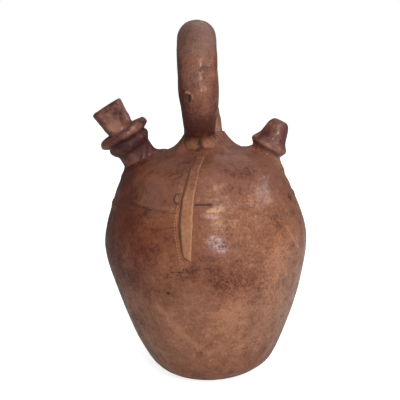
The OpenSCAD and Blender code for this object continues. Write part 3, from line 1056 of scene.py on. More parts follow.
    def rise(self, grid: Array) -> Array:
        """How far the hide climbs the handle's feet, in millimetres."""
        best = np.zeros(grid.shape[:2])
        for side, half_w in zip((-1, 1), self.foot_half_w):
            u = (grid[..., 0] - max(side, 0) * self.form.rear_shift) / half_w
            v = (grid[..., 1] - side * self.form.leg_seat) / self.foot_half_t
            span = np.hypot(u, v) + 1e-6
            away = (span - 1.0) * np.hypot(u * half_w, v * self.foot_half_t) / span
            sides = 1.0 - ease((side * v / span - 0.35) / 0.5)
            high = self.rise_front + (self.rise_high - self.rise_front) * sides
            share = np.clip(1.0 - np.maximum(away, 0.0) / self.rise_reach, 0.0, 1.0)
            best = np.maximum(best, high * share**2.3)
        return best

    def shoulder(self, wardrobe: Wardrobe, necks: Sequence["Neck"]) -> None:
        """The shoulder hide, drawn up round the necks and the handle's feet."""
        rows = self.form.rows(self.form.seam_z - 0.6, self.form.crown_h - 0.002, self.step)
        rows[-1] = (0.0, self.form.crown_h)
        grid = self.turned(rows)
        normal = grid_normals(grid, True)
        normal[-1] = (0.0, 0.0, 1.0)
        paint = Paint()
        lift = self.patina(grid, paint) + self.lumps(grid)
        lift[-1] = lift[-2].mean()
        outer = grid + normal * lift[..., None]
        outer[..., 2] += self.rise(grid)
        holes = np.zeros(grid.shape[:2], bool)
        for neck in necks:
            outer = neck.draw_up(outer, self.blend)
            local = through(neck.frame().inverted(), grid)
            holes |= np.hypot(local[..., 0], local[..., 1]) < neck.inside_r
        normal = grid_normals(outer, True)
        # painted shade in the hollows where the shoulder rises on to the necks and the handle's feet
        depth = hollow(outer, normal, 4, 4)
        paint.add(Layer.GRIME_AND_SHADE, np.clip(depth * 0.25, 0.0, 0.18))
        keep = ~(holes[:-1] | holes[1:])
        inner = grid - grid_normals(grid, True) * self.form.hide
        inner[-1] = (0.0, 0.0, self.form.crown_h - self.form.hide)
        piece = hide_mesh("shoulder_hide", outer, inner, paint, keep=keep, poles=True)
        wardrobe.dress(piece, Finish.SHOULDER, "vessel", ["shoulder_leather"])

    def base(self, wardrobe: Wardrobe) -> None:
        """The disc of hide that the jug stands on."""
        reach = self.form.foot_d / 2 - 2.0
        r = np.concatenate([np.linspace(reach, reach - 2.0, 5), np.linspace(reach - 3, 0, 24)])
        disc = around(r[:, None], 0.0, np.radians(np.arange(0, 360, 3.0)))
        bevel = 0.6 * ease((r - reach + 1.2) / 1.2)[:, None]
        under = 0.12 + 0.12 * waves(disc, 9, 31)
        under[-1] = 0.12
        low, high = disc.copy(), disc.copy()
        low[..., 2] = np.clip(under + bevel, 0.0, 2.0)
        high[..., 2] = 2.0 - bevel
        paint = Paint()
        paint.add(Layer.WEAR, 0.5 + 0.4 * waves(low, 14, 32))
        paint.add(Layer.GRIME_AND_SHADE, 0.25 + 0.2 * waves(low, 20, 33))
        piece = hide_mesh("base_hide", low[:, ::-1], high[:, ::-1], paint, poles=True)
        wardrobe.dress(piece, Finish.BELLY, "vessel", ["base_leather"])

    def strip(self, wardrobe: Wardrobe, side: int, label: str) -> None:
        """A strip of hide laid over the dart that runs down from the handle's foot."""
        piece = DartStrip(self.form).build(side, f"{label}_strip_hide")
        wardrobe.dress(piece, Finish.RAW_EDGE, "vessel", [f"{label}_dart_strip"])
        beads = DartStrip(self.form).beads(side, f"{label}_stitches")
        wardrobe.dress(beads, Finish.RAW_EDGE, "vessel")


@dataclass
class DartStrip:
    """A strip of hide over a dart, and the line of stitches beside it."""

    form: JugForm
    slope: float = 35.0
    length: float = 98.0
    width: float = 15.0
    thick: float = 1.2
    sink: float = 1.4
    # share of the length, sideways place, share of the width
    rows: tuple[tuple[float, float, float], ...] = (
        (0.00, 0.4, 0.44), (0.14, -1.7, 0.46), (0.28, -6.4, 0.51), (0.40, -9.2, 0.58),
        (0.54, -13.0, 0.64), (0.70, -15.3, 0.71), (0.84, -16.2, 0.64), (0.96, -16.5, 0.48),
        (1.00, -16.5, 0.40),
    )
    across: int = 26
    stitch_path: tuple[tuple[float, float], ...] = (
        (-15.6, 171.0), (-16.8, 157.1), (-16.2, 149.6), (-13.8, 129.5)
    )
    stitch_gap: float = 2.3

    def on_body(self, x: Array, q: Array) -> Array:
        """Points of the hide seen along the strip's own slope."""
        turn = math.radians(90 - self.slope)
        low, high = np.full(x.shape, 40.0), np.full(x.shape, 220.0)
        for _ in range(40):
            mid = (low + high) / 2
            y = q * math.cos(turn) - mid * math.sin(turn)
            z = q * math.sin(turn) + mid * math.cos(turn)
            inside = np.hypot(x, y) < np.where(z < self.form.crown_h, self.form.radius(z), 0.0)
            low, high = np.where(inside, mid, low), np.where(inside, high, mid)
        y = q * math.cos(turn) - low * math.sin(turn)
        z = q * math.sin(turn) + low * math.cos(turn)
        return np.stack([x, y, z], -1)

    def build(self, side: int, name: str) -> bpy.types.Object:
        """Makes the strip on the front (-1) or the rear (1)."""
        line = spline(self.rows, 16)
        u = np.linspace(1.0, -1.0, self.across)[None, :]
        start = self.form.crown_h - 55.0
        half = line[:, 2:] * self.width / 2 * (1 + 0.03 * waves(line * 60, 12, 41)[:, None])
        x = line[:, 1:2] + u * half
        slant = -2.2 * ease((line[:, :1] - 0.9) / 0.1) * u
        q = start - line[:, :1] * self.length + slant
        grid = self.on_body(x, np.broadcast_to(q, x.shape))
        normal = grid_normals(grid, False)
        if (normal[0, 0] * [0, -1, 1]).sum() < 0:
            normal = -normal
        edge = 1 - np.abs(u)
        bow = self.thick * (0.55 + 0.45 * ease(edge / 0.25)) + 0.2 * waves(grid, 8, 42)
        seam = self.form.seam_step * ease(1 - np.abs(grid[..., 2] - 163.0) / 8.0)
        outer = grid + normal * (bow + seam)[..., None]
        inner = grid - normal * self.sink
        paint = Paint()
        share = line[:, :1]
        margin = ease((-u - 0.45) / 0.4) * np.ones_like(share)
        low_part = ease((share - 0.42) / 0.14)
        paint.add(Layer.TONE, 0.85 * low_part - 1.4 * margin * ease((share - 0.2) / 0.2) - 0.4)
        rim = 0.6 * bell((1 - u) / 0.16) * np.ones_like(share)
        paint.add(Layer.WEAR, rim + 0.25 * low_part * (1 - margin))
        paint.add(Layer.GRIME_AND_SHADE, 0.35 * bell((1 + u) / 0.1) * np.ones_like(share))
        paint.add(Layer.RED, 0.4 * waves(grid, 12, 43) + 0.3 * (1 - low_part))
        if side > 0:
            outer, inner = outer * [1, -1, 1], inner * [1, -1, 1]
        return hide_mesh(name, outer, inner, paint, wrap=False)

    def beads(self, side: int, name: str) -> bpy.types.Object:
        """Makes the stitches that stand out beside the strip."""
        path = spline([self.form.place(a, z) for a, z in self.stitch_path], 24)
        way = lengths(path)
        turn = np.radians(np.arange(0, 360, 45.0))
        lift = np.radians(np.linspace(-85, 85, 6))[:, None]
        ball = around(np.cos(lift), np.sin(lift), turn)
        parts = []
        for count, spot in enumerate(np.arange(0, way[-1], self.stitch_gap)):
            at = along(path, way, spot)
            ahead = along(path, way, spot + 1.0) - at
            ahead /= max(np.linalg.norm(ahead), 1e-9)
            out = at * [1, 1, 0] / np.linalg.norm(at[:2])
            size = np.array([0.5, 0.45, 0.75 + 0.1 * math.sin(count * 2.4)])
            axes = np.stack([np.cross(ahead, out), out, ahead])
            grid = (ball * size) @ axes + at + out * 0.75
            if side > 0:
                grid = grid[:, ::-1] * [1, -1, 1]
            paint = Paint()
            paint.add(Layer.TONE, np.full(grid.shape[:2], 0.9))
            centre = grid.mean((0, 1))
            parts.append(hide_mesh(f"{name}_{count}", grid, centre + (grid - centre) * 0.5, paint))
        return join(name, parts)


# ---- necks


@dataclass
class Neck:
    """The hide of one neck: a turned profile with the folds that forming left in it."""

    form: JugForm
    name: str
    node: str
    seat_x: float
    tilt: float
    profile: tuple[tuple[float, float], ...]
    cut_end: tuple[tuple[float, float], ...]
    neck_r: float
    inside_r: float
    folds: tuple[Mark, ...] = ()
    hide: float = 1.9
    columns: int = 176
    steps: int = 9
    flare_top: float = 2.0
    lump: float = 0.4
    seed: int = 50
    tone: float = 0.0
    bead_tone: float = 0.0
    bead_z: float = 10.0
    foot_tone: float = 0.0
    foot_z: float = 3.0
    redness: float = 0.0
    # how strongly hollows get grime and painted shade, and how strongly the relief is painted as shade and
    # highlight
    grime_and_shade: float = 0.9
    relief_shade_and_highlight: float = 1.6

    def frame(self) -> Matrix:
        """The neck's own frame, z out along the neck."""
        return self.form.seat(self.seat_x, self.tilt)

    def flare(self, radius: Array) -> Array:
        """Height of the neck's spreading foot at a distance from its axis."""
        line = spline(self.profile, self.steps)
        low = line[line[:, 1] < self.flare_top]
        order = np.argsort(low[:, 0])
        return np.interp(radius, low[order, 0], low[order, 1])

    def draw_up(self, points: Array, blend: float) -> Array:
        """Lifts points of the shoulder on to the neck's foot, in one smooth surface.

        Args:
            points: the shoulder's outer face.
            blend: how wide the rounding between the two surfaces is.

        Returns:
            The moved points.
        """
        here = self.frame()
        local = through(here.inverted(), points)
        radius = np.hypot(local[..., 0], local[..., 1])
        foot = self.flare(radius)
        near = np.maximum(blend - np.abs(local[..., 2] - foot), 0.0)
        top = np.maximum(local[..., 2], foot) + near**2 / (4 * blend)
        fade = ease((self.profile[0][0] + 2 * blend - radius) / (2 * blend))
        reach = ease((radius - self.neck_r + 2.5) / 2.0) * fade
        local[..., 2] += (top - local[..., 2]) * reach
        return through(here, local)

    def build(self) -> bpy.types.Object:
        """Makes the neck's hide."""
        line = spline(self.profile, self.steps)
        end = np.array(self.cut_end)
        rows = np.vstack([line, end])
        tangent = np.gradient(rows, axis=0)
        tangent /= np.maximum(np.linalg.norm(tangent, axis=1), 1e-9)[:, None]
        skin = rows - self.hide * np.stack([tangent[:, 1], -tangent[:, 0]], -1)
        skin[len(line) - 1 :] = rows[-1]
        at_rim = rows[:, 1] > rows[-1, 1] - 4.0
        skin[at_rim, 0] = np.maximum(skin[at_rim, 0], rows[-1, 0])
        turn = np.radians(np.linspace(0, 360, self.columns, endpoint=False))
        local, inner = (around(r[:, :1], r[:, 1:], turn) for r in (rows, skin))
        paint = Paint()
        normal = grid_normals(local, True)
        lift = self.lump * waves(local, 15, self.seed) + 0.15 * waves(local, 5, self.seed + 1)
        fade = ease((rows[-len(end) - 1, 1] - rows[:, 1] + 1.5) / 3.0)[:, None]
        lift = lift * np.maximum(fade, 0.25)
        lift[len(line) :] = 0.0
        for fold in self.folds:
            corners = [self.at(a, z, line) for a, z in fold.path]
            lift += fold.press(local, corners, paint)
        outer = local + normal * lift[..., None]
        # painted shade in grooves and hollows, painted highlight on bulges
        depth = hollow(outer, normal, self.steps // 2, 6)
        paint.add(Layer.GRIME_AND_SHADE, np.clip(depth * self.grime_and_shade - 0.12, 0.0, 0.75))
        paint.add(Layer.TONE, np.clip(-depth * self.relief_shade_and_highlight, -0.5, 0.8) + 0.35 * waves(local, 16, self.seed + 2))
        bead = bell((rows[:, 1] - self.bead_z) / 4.0)[:, None]
        foot = ease((self.foot_z - rows[:, 1]) / 4.0)[:, None]
        paint.add(Layer.TONE, self.tone + self.bead_tone * bead + self.foot_tone * foot)
        paint.add(Layer.RED, self.redness + 0.5 * waves(local, 20, self.seed + 3))
        cut = np.zeros(outer.shape[:2])
        cut[len(line) :] = 0.8
        paint.add(Layer.WEAR, cut)
        here = self.frame()
        return hide_mesh(self.name, through(here, outer), through(here, inner), paint)

    def at(self, angle: float, height: float, line: Array) -> Array:
        """A point of the neck's outer face, by its angle in degrees and its height."""
        r = float(np.interp(height, line[:, 1], line[:, 0]))
        turn = math.radians(angle)
        return np.array([r * math.cos(turn), r * math.sin(turn), height])

    def dress(self, wardrobe: Wardrobe) -> None:
        """Builds and finishes the neck's hide."""
        wardrobe.dress(self.build(), Finish.NECK, "vessel", [self.node])


def filler_neck(form: JugForm) -> Neck:
    """The filler neck: a flared foot, a rounded tier and a broad lip."""
    neck_r, tier_r, lip_r, top, lip_h = 15.9, 19.8, 23.8, 32.0, 8.0
    tier_z = top - lip_h - 5.5
    profile = (
        (neck_r + 10.5, -13.0), (neck_r + 8, -6.0), (neck_r + 3.2, -2.0), (neck_r + 0.5, 3.0),
        (neck_r, tier_z - 7), (tier_r - 1.4, tier_z - 3), (tier_r, tier_z),
        (tier_r - 0.2, tier_z + 2.5), (tier_r - 0.9, tier_z + 4.5),
        (lip_r - 2.6, top - lip_h + 0.6), (lip_r, top - 0.65 * lip_h),
        (lip_r, top - 0.3 * lip_h), (lip_r - 1.2, top - 0.4), (lip_r - 2.4, top + 0.1),
    )
    folds = (
        Mark(Trace.RIDGE, ((-58.0, -1.0), (-35.0, 4.0), (-8.0, 9.0)), 1.4, 0.5),
        Mark(Trace.CREASE, ((-66.0, 1.0), (-38.0, 7.0), (-12.0, 11.5)), 1.0, 0.5),
        Mark(Trace.RIDGE, ((-80.0, 0.0), (-60.0, 5.0)), 1.2, 0.35),
        Mark(Trace.CREASE, ((-50.0, -3.5), (-20.0, 0.0), (10.0, 1.5)), 0.8, 0.6),
        Mark(Trace.CREASE, ((-120.0, 2.0), (-92.0, -2.0)), 0.8, 0.5),
        Mark(Trace.RIDGE, ((100.0, -2.0), (130.0, 4.0)), 1.2, 0.6),
    )
    return Neck(
        form, "filler_neck_hide", "filler_neck_leather", -54.7, -28.0, profile,
        ((lip_r - 3.4, top), (lip_r - 4.0, top - 0.1)), neck_r, 11.6, folds,
        tone=-0.6, bead_tone=-0.15, bead_z=tier_z, foot_tone=0.1, redness=0.5, grime_and_shade=0.7,
    )


def drinking_spout(form: JugForm) -> Neck:
    """The drinking spout: a flared foot, a bead and a cone with a narrow tip."""
    neck_r, bead_r, tip_r, top, bead_z = 14.3, 17.0, 9.5, 33.2, 10.0
    cone = top - bead_z
    hole_r = 4.1
    profile = (
        (neck_r + 10.5, -13.0), (neck_r + 8, -6.0), (neck_r + 3.2, -2.0),
        (neck_r, bead_z - 7.2), (bead_r - 1.2, bead_z - 3.6), (bead_r, bead_z - 1.6),
        (bead_r - 0.2, bead_z + 0.4), (bead_r - 1.4, bead_z + 2.2), (tip_r + 4.4, bead_z + 0.2 * cone),
        (tip_r + 3.0, bead_z + 0.32 * cone), (tip_r + 1.9, bead_z + 0.5 * cone),
        (tip_r + 1.0, bead_z + 0.68 * cone),
        (tip_r - 0.4, bead_z + 0.84 * cone), (tip_r - 2.2, bead_z + 0.95 * cone),
        (hole_r + 1.2, top - 0.1), (hole_r, top - 0.5),
    )
    folds = (
        Mark(Trace.CREASE, ((-140.0, -3.5), (-95.0, -2.5), (-50.0, -4.0)), 0.8, 0.3),
        Mark(Trace.RIDGE, ((-78.0, 15.0), (-76.0, 22.0), (-84.0, 29.0)), 1.5, 0.4),
        Mark(Trace.BLUSH_AND_SHADE, ((-140.0, 14.0), (-130.0, 20.0)), 4.0, 0.7),
        Mark(Trace.BLUSH_AND_SHADE, ((-40.0, 20.0), (-35.0, 28.0)), 4.0, 0.7),
        Mark(Trace.BLUSH_AND_SHADE, ((-150.0, 9.0), (-60.0, 5.0)), 2.2, 0.6),
    )
    return Neck(
        form, "spout_hide", "spout_leather", 58.0, 28.0, profile,
        ((hole_r, top - 1.2),), neck_r, 10.2, folds, seed=60,
        lump=0.22, tone=-0.2, bead_tone=0.55, bead_z=bead_z, foot_tone=0.8, foot_z=7.5, redness=0.1,
        grime_and_shade=0.2, relief_shade_and_highlight=0.7,
    )


# ---- handle


@dataclass
class Handle:
    """The hide of the ring handle, seamed inside the ring, with lobed ends."""

    form: JugForm
    body: BodyHide
    ring_d: float = 114.0
    top: float = 319.5
    width: float = 33.2
    thick: float = 30.0
    leg_thick: float = 23.0
    front_leg: float = 26.5
    rear_leg: float = 35.5
    ring_end: float = 140.0
    lean: float = 3.0
    hide: float = 1.9
    around: int = 150
    along: int = 400
    lobe_h: float = 18.0
    settle_rows: int = 42
    # corners are (sideways, height) on the side that faces the front
    marks: tuple[Mark, ...] = (
        Mark(Trace.SCUFF, ((-9.4, 259.4), (-8.4, 259.8), (-6.6, 258.8)), 1.4, 1.1),
        Mark(Trace.SCUFF, ((-4.4, 257.2), (-4.2, 254.6)), 1.0, 0.9),
        Mark(Trace.STAIN, ((-6.8, 257.0), (-6.0, 254.9), (-6.9, 253.0)), 1.5, 1.5),
        Mark(Trace.CREASE, ((-8.8, 256.0), (-7.6, 251.8)), 1.0, 0.6),
        Mark(Trace.STAIN, ((-9.6, 298.5), (-8.2, 298.0)), 1.5, 0.7),
        Mark(Trace.STAIN, ((-1.0, 299.0), (0.4, 298.6)), 1.2, 0.6),
        Mark(Trace.STAIN, ((-7.3, 292.0),), 1.8, 0.5),
        # three pale streaks down the grip: a painted highlight
        Mark(Trace.RUB_AND_HIGHLIGHT, ((3.3, 284.5), (3.0, 280.5)), 1.5, 0.9),
        Mark(Trace.RUB_AND_HIGHLIGHT, ((3.2, 274.0), (3.2, 269.5)), 1.5, 0.7),
        Mark(Trace.RUB_AND_HIGHLIGHT, ((6.2, 263.0), (5.6, 259.5)), 1.4, 0.5),
        # darker, redder bands down both side edges: colour and painted shade
        Mark(Trace.BLUSH_AND_SHADE, ((-11.6, 258.0), (-11.0, 241.0)), 3.4, 0.8),
        Mark(Trace.BLUSH_AND_SHADE, ((13.6, 266.0), (13.2, 246.0)), 3.0, 0.55),
        Mark(Trace.CREASE, ((-2.1, 245.7), (-0.1, 238.0)), 0.8, 0.7),
        Mark(Trace.CREASE, ((-5.5, 246.5), (-3.6, 240.5)), 0.7, 0.5),
        # a wide band of painted shade where the ring's front turns under
        Mark(Trace.BLUSH_AND_SHADE, ((-11.3, 231.0), (1.2, 232.5), (13.6, 229.5)), 7.0, 0.55),
        Mark(Trace.STAIN, ((1.3, 226.5), (0.2, 220.0), (-2.4, 213.0)), 1.2, 0.8),
        Mark(Trace.SLIT, ((10.9, 222.8), (13.2, 218.0)), 0.7, 0.7),
        # pale patches on the lobes: painted light where they face up
        Mark(Trace.RUB_AND_HIGHLIGHT, ((17.6, 218.5), (22.5, 211.0)), 1.2, 0.6),
        Mark(Trace.RUB_AND_HIGHLIGHT, ((-16.0, 216.0), (-21.5, 212.5)), 1.2, 0.5),
        Mark(Trace.RUB_AND_HIGHLIGHT, ((-8.9, 216.0),), 4.0, 0.35),
        Mark(Trace.RUB_AND_HIGHLIGHT, ((6.5, 215.5),), 4.0, 0.35),
    )

    def path(self) -> tuple[Array, Array]:
        """Centre line in the ring's plane, and how far along it each point lies."""
        ring_r = (self.ring_d - self.thick) / 2
        ring_z = self.top - self.ring_d / 2
        turn = math.radians(self.ring_end)
        top = np.array([ring_r * math.sin(turn), ring_z + ring_r * math.cos(turn)])
        ahead = np.array([math.cos(turn), -math.sin(turn)])
        foot = np.array([self.form.leg_seat, float(self.form.crown(self.form.leg_seat))])
        leg = bezier(foot, foot + [0, 9], top + 9 * ahead, top, 60)
        swing = np.linspace(-turn, turn, 400)
        ring = np.stack([ring_r * np.sin(swing), ring_z + ring_r * np.cos(swing)], -1)
        line = np.vstack([leg * [-1, 1], ring, leg[::-1]])
        way = lengths(line)
        even = np.linspace(0, way[-1], self.along)
        return along(line, way, even), even

    def halves(self, height: Array, side: Array) -> tuple[Array, Array]:
        """Half width and half thickness of the handle at a height, front or rear."""
        foot = float(self.form.crown(self.form.leg_seat))
        ring = self.top - self.ring_d / 2
        steps = [foot, foot + 6, foot + 13, foot + 22, ring - 4]
        front = np.array([4.0, 1.6, 0.0, 0.8, 0.0]) + self.front_leg / 2
        rear = np.array([4.0, 1.0, 0.0, 0.0, 0.0]) + self.rear_leg / 2
        front[-1] = rear[-1] = self.width / 2
        half_w = np.where(side < 0, np.interp(height, steps, front), np.interp(height, steps, rear))
        legs, ring_half = self.leg_thick / 2, self.thick / 2
        half_t = np.interp(height, [foot, foot + 20, ring - 5], [legs, legs, ring_half])
        kernel = np.hanning(17) / np.hanning(17).sum()
        smooth = [np.convolve(np.pad(h, 8, "edge"), kernel, "valid") for h in (half_w, half_t)]
        return smooth[0], smooth[1]

    def drift(self, line: Array) -> Array:
        """How far the handle stands to the right of its plane at each point of its path."""
        foot = float(self.form.crown(self.form.leg_seat))
        share = (line[:, 1] - foot) / (self.top - foot)
        low = np.clip(1 - (line[:, 1] - foot) / (self.top - self.ring_d / 2 - foot), 0, 1)
        return self.lean * share**2 + self.form.rear_shift * low * (line[:, 0] > 0)

    def ends(self, grid: Array, paint: Paint, phi: Array) -> Array:
        """Shapes the lobes at both feet.

        Args:
            grid: the handle's outer face.
            paint: its paint, added to.
            phi: each column's angle from the side that faces away from the ring.

        Returns:
            The grid, its end rows laid just above the shoulder.
        """
        facing = np.cos(phi)
        cleft = bell(np.sin(phi) / 0.12) * (facing > 0)
        rows = np.arange(self.along)[:, None]
        feet = ((0, 1), (self.along - 1, -1))
        for first, sign in feet:
            up = grid[..., 2].mean(1)[:, None] - grid[first, :, 2].mean()
            near = np.where(sign * (rows - self.along / 2) < 0, 1.0, 0.0)
            reach = near * ease(1 - up / self.lobe_h)
            # painted shade in the cleft between the lobes
            paint.add(Layer.GRIME_AND_SHADE, 0.5 * cleft * reach)
            out = grid - grid.mean(1, keepdims=True)
            out /= np.linalg.norm(out, axis=-1, keepdims=True)
            bulge = 0.9 * np.sin(2 * np.clip(np.abs(phi), 0, math.pi / 2)) - 0.7 * cleft
            grid = grid + out * (reach * bulge)[..., None]
        ground = self.form.crown(np.hypot(grid[..., 0], grid[..., 1])) + self.body.rise(grid)
        lobe = 0.2 + 0.5 * np.sqrt(cleft) - 6.0 * ease((np.abs(phi) - 0.9) / 0.5)
        for first, sign in feet:
            span = np.arange(self.settle_rows)
            share = ease(1 - span / (self.settle_rows - 1.0))[:, None]
            fall = ground[first] + lobe - grid[first, :, 2]
            grid[first + sign * span, :, 2] += share * fall[None, :]
        return grid

    def build(self) -> bpy.types.Object:
        """Makes the handle's hide."""
        line, way = self.path()
        tangent = np.gradient(line, axis=0)
        tangent /= np.linalg.norm(tangent, axis=1)[:, None]
        half_w, half_t = self.halves(line[:, 1], line[:, 0])
        phi = np.linspace(-math.pi, math.pi, self.around, endpoint=False)
        paint = Paint()

        def skin(less: float) -> Array:
            """The face that lies so far inside the outer one."""
            out = ((half_t - less)[:, None] * np.cos(phi))
            x = (half_w - less)[:, None] * np.sin(phi) + self.drift(line)[:, None]
            y = line[:, :1] - out * tangent[:, 1:]
            z = line[:, 1:] + out * tangent[:, :1]
            return np.stack([x, y, z], -1)

        grid = self.ends(skin(0.0), paint, phi)
        inner = skin(self.hide)
        inner[:, :, 2] += (grid - skin(0.0))[:, :, 2]
        normal = grid_normals(grid, True)
        centre = np.stack([self.drift(line), line[:, 0], line[:, 1]], -1)[:, None, :]
        if (normal * (grid - centre)).sum() < 0:
            normal = -normal
        seam = bell((np.abs(phi) - math.pi) * self.thick / 2 / 1.3)
        beside = bell((np.abs(phi) - math.pi) * self.thick / 2 / 3.2)
        stitch = 0.5 + 0.5 * np.cos(2 * math.pi * way / 4.2)
        lift = 0.35 * waves(grid, 22, 71) + 0.14 * waves(grid, 7, 72) + 0.05 * waves(grid, 3, 73)
        lift += 0.9 * beside - (1.5 - 0.9 * stitch[:, None] ** 3) * seam
        lift += self.press_marks(grid, paint, phi)
        outer = grid + normal * lift[..., None]
        # painted shade in hollows and in the seam groove between stitches
        depth = hollow(outer, normal, 4, 3)
        paint.add(Layer.GRIME_AND_SHADE, np.clip(depth * 0.8 - 0.05, 0.0, 0.6) + 0.5 * seam * (1 - stitch[:, None]))
        self.tint(outer, paint)
        return hide_mesh("handle_hide", outer, inner, paint)

    def press_marks(self, grid: Array, paint: Paint, phi: Array) -> Array:
        """Paints the marks on the front of the handle and tells how far they lift it."""
        front = grid.copy()
        front[..., 1] = 0.0
        hidden = (np.arange(self.along)[:, None] > self.along / 2) | (np.abs(phi) > 1.9)
        front[hidden, 1] = self.top
        lift = np.zeros(grid.shape[:2])
        for mark in self.marks:
            lift += mark.press(front, [np.array([x, 0.0, z]) for x, z in mark.path], paint)
        return lift

    def tint(self, grid: Array, paint: Paint) -> None:
        """Paints the handle: painted shade over its front, deepest in a band above the feet where the ring turns
        under, painted light on the lobes, painted shade along the front's side edges, warm on the grip, pale at
        the cut ends.
        """
        z = grid[..., 2]
        foot = float(self.form.crown(self.form.leg_seat))
        front = ease(0.5 - grid[..., 1] / 10.0)
        edges = ease((np.abs(grid[..., 0] - self.lean) / (self.width / 2) - 0.8) / 0.2)
        # painted shade over the front, deepest where the ring turns under
        paint.add(Layer.TONE, -front * (0.15 + 0.55 * bell((z - foot - 22) / 9.0)))
        # painted light on the lobes that face up
        paint.add(Layer.TONE, 0.4 * bell((z - foot - 5) / 6.0))
        paint.add(Layer.TONE, 0.4 * (1 - front) * ease(1 - (z - foot - 20) / 20.0))
        paint.add(Layer.TONE, 0.15 * bell((z - 275) / 16.0) - 0.1 * ease((z - 296) / 10.0))
        # painted shade along the side edges of the front
        paint.add(Layer.TONE, -0.5 * edges * front * ease((296 - z) / 20))
        paint.add(Layer.RED, 0.15 * bell((z - 262) / 26.0) + 0.3 * waves(grid, 26, 75))
        paint.add(Layer.RED, -0.95 * ease((z - 282) / 16.0))
        edge = np.zeros(grid.shape[:2])
        edge[:2] = edge[-2:] = 0.3
        paint.add(Layer.WEAR, edge)

    def dress(self, wardrobe: Wardrobe) -> None:
        """Builds and finishes the handle's hide."""
        wardrobe.dress(self.build(), Finish.SHOULDER, "vessel", ["handle_leather"])


# ---- stopper


@dataclass
class Stopper:
    """The stopper of the filler neck: a tapered plug in a sewn sleeve of hide."""

    neck: Neck
    rim: float = 32.0
    above: float = 24.8
    below: float = 18.5
    plug_d: float = 25.0
    taper: float = 0.187
    hide: float = 1.8
    columns: int = 144
    panels: int = 4
    mid_panel: float = 0.93
    corner: float = 1.08
    facing: float = -88.0
    # angle in degrees round the neck and depth in millimetres; each crease is darkened as painted shade
    creases: tuple[tuple[float, float], ...] = ((228.0, 0.4), (304.0, 0.5), (60.0, 0.7), (142.0, 0.5))

    def radius(self, height: Array) -> Array:
        """Radius of the sleeve at a height along the neck."""
        return self.plug_d / 2 + (height - self.rim) * self.taper / 2

    def turned(self, radius: Array, height: Array, angle: Array, square: Array) -> Array:
        """A grid of the sleeve, its sections drawn towards flat panels."""
        turn = (angle[None, :] - math.radians(self.facing)) * self.panels / (2 * math.pi)
        fold = (turn + 0.5) % 1.0 - 0.5
        flat = self.mid_panel / np.cos(fold * 2 * math.pi / self.panels)
        pull = 1.0 + square[:, None] * (np.minimum(flat, self.corner) - 1.0)
        return around(radius[:, None] * pull, height[:, None], angle)

    def sleeve(self) -> bpy.types.Object:
        """Makes the sleeve of hide round the plug."""
        low, high = self.rim - self.below, self.rim + self.above
        height = np.concatenate([np.linspace(low, high - 1.6, 96), high - np.array([1.1, 0.6, 0.2, 0.0])])
        radius = self.radius(height)
        radius[-4:] -= [0.15, 0.4, 0.9, 1.5]
        angle = np.linspace(0, 2 * math.pi, self.columns, endpoint=False)
        free = ease((height - self.rim - 1.0) / 4.0)
        grid = self.turned(radius, height, angle, 0.9 * free)
        normal = grid_normals(grid, True)
        paint = Paint()
        lift = free[:, None] * (0.3 * waves(grid, 9, 81) + 0.12 * waves(grid, 3.5, 82))
        for place, deep in self.creases:
            line = angle[None, :] - math.radians(place)
            line = (line + math.pi) % (2 * math.pi) - math.pi
            mask = bell(line * radius[:, None] / 0.9) * free[:, None]
            lift -= deep * mask
            # painted shade in the crease and over the panel corner beside it
            paint.add(Layer.GRIME_AND_SHADE, 0.9 * deep * mask)
            near = bell(line * radius[:, None] / 4.2) * free[:, None]
            paint.add(Layer.TONE, -1.1 * near)
        outer = grid + normal * lift[..., None]
        inner = self.turned(self.radius(height) - self.hide, height, angle, 0 * free)
        up = (height - self.rim)[:, None]
        # painted shade where the stopper enters the neck
        paint.add(Layer.GRIME_AND_SHADE, 0.55 * bell(up / 1.6) * np.ones_like(lift))
        # a dark line below the top edge, painted shade in place of a groove
        paint.add(Layer.GRIME_AND_SHADE, bell((up - self.above + 3.2) / 1.0) * (0.3 + 0.3 * waves(grid, 8, 84)))
        # painted shade along the top edge
        paint.add(Layer.TONE, -0.7 * bell((up - self.above) / 3.0) + 0.4 * waves(grid, 9, 83))
        paint.add(Layer.TONE, np.full(grid.shape[:2], 0.95))
        paint.add(Layer.RED, 0.4 + 0.3 * waves(grid, 12, 85))
        # painted shade on the part inside the neck
        paint.add(Layer.TONE, -1.0 * ease(-up / 6.0) * np.ones_like(lift))
        here = self.neck.frame()
        return hide_mesh("stopper_sleeve", through(here, outer), through(here, inner), paint)

    def cap(self) -> bpy.types.Object:
        """Makes the disc of hide that closes the stopper's top."""
        high = self.rim + self.above
        reach = float(self.radius(np.array(high))) - self.hide - 0.2
        r = np.concatenate([[reach, reach - 0.15, reach - 0.5], np.linspace(reach - 1.1, 0, 18)])
        drop = np.concatenate([[0.9, 0.45, 0.2], np.zeros(18)])
        disc = around(r[:, None], 0.0, np.linspace(0, 2 * math.pi, 72, endpoint=False))
        swell = 0.35 * (1 - (r / reach) ** 2)[:, None] + 0.15 * waves(disc, 7, 86)
        swell[-1] = 0.35
        top, under = disc.copy(), disc.copy()
        top[..., 2] = high - 0.4 - drop[:, None] + swell
        under[..., 2] = high - self.hide
        paint = Paint()
        paint.add(Layer.TONE, -0.7 + 0.3 * waves(top, 8, 87))
        rim = 0.6 * ease((r - reach + 1.2) / 1.2)[:, None]
        paint.add(Layer.GRIME_AND_SHADE, rim * np.ones(disc.shape[:2]))
        here = self.neck.frame()
        return hide_mesh("stopper_cap", through(here, top), through(here, under), paint, poles=True)

    def dress(self, wardrobe: Wardrobe) -> None:
        """Builds and finishes the stopper's hide."""
        wardrobe.dress(self.sleeve(), Finish.NECK, "stopper", ["stopper_leather"])
        wardrobe.dress(self.cap(), Finish.RAW_EDGE, "stopper", ["stopper_top_leather"])


# ---- studio


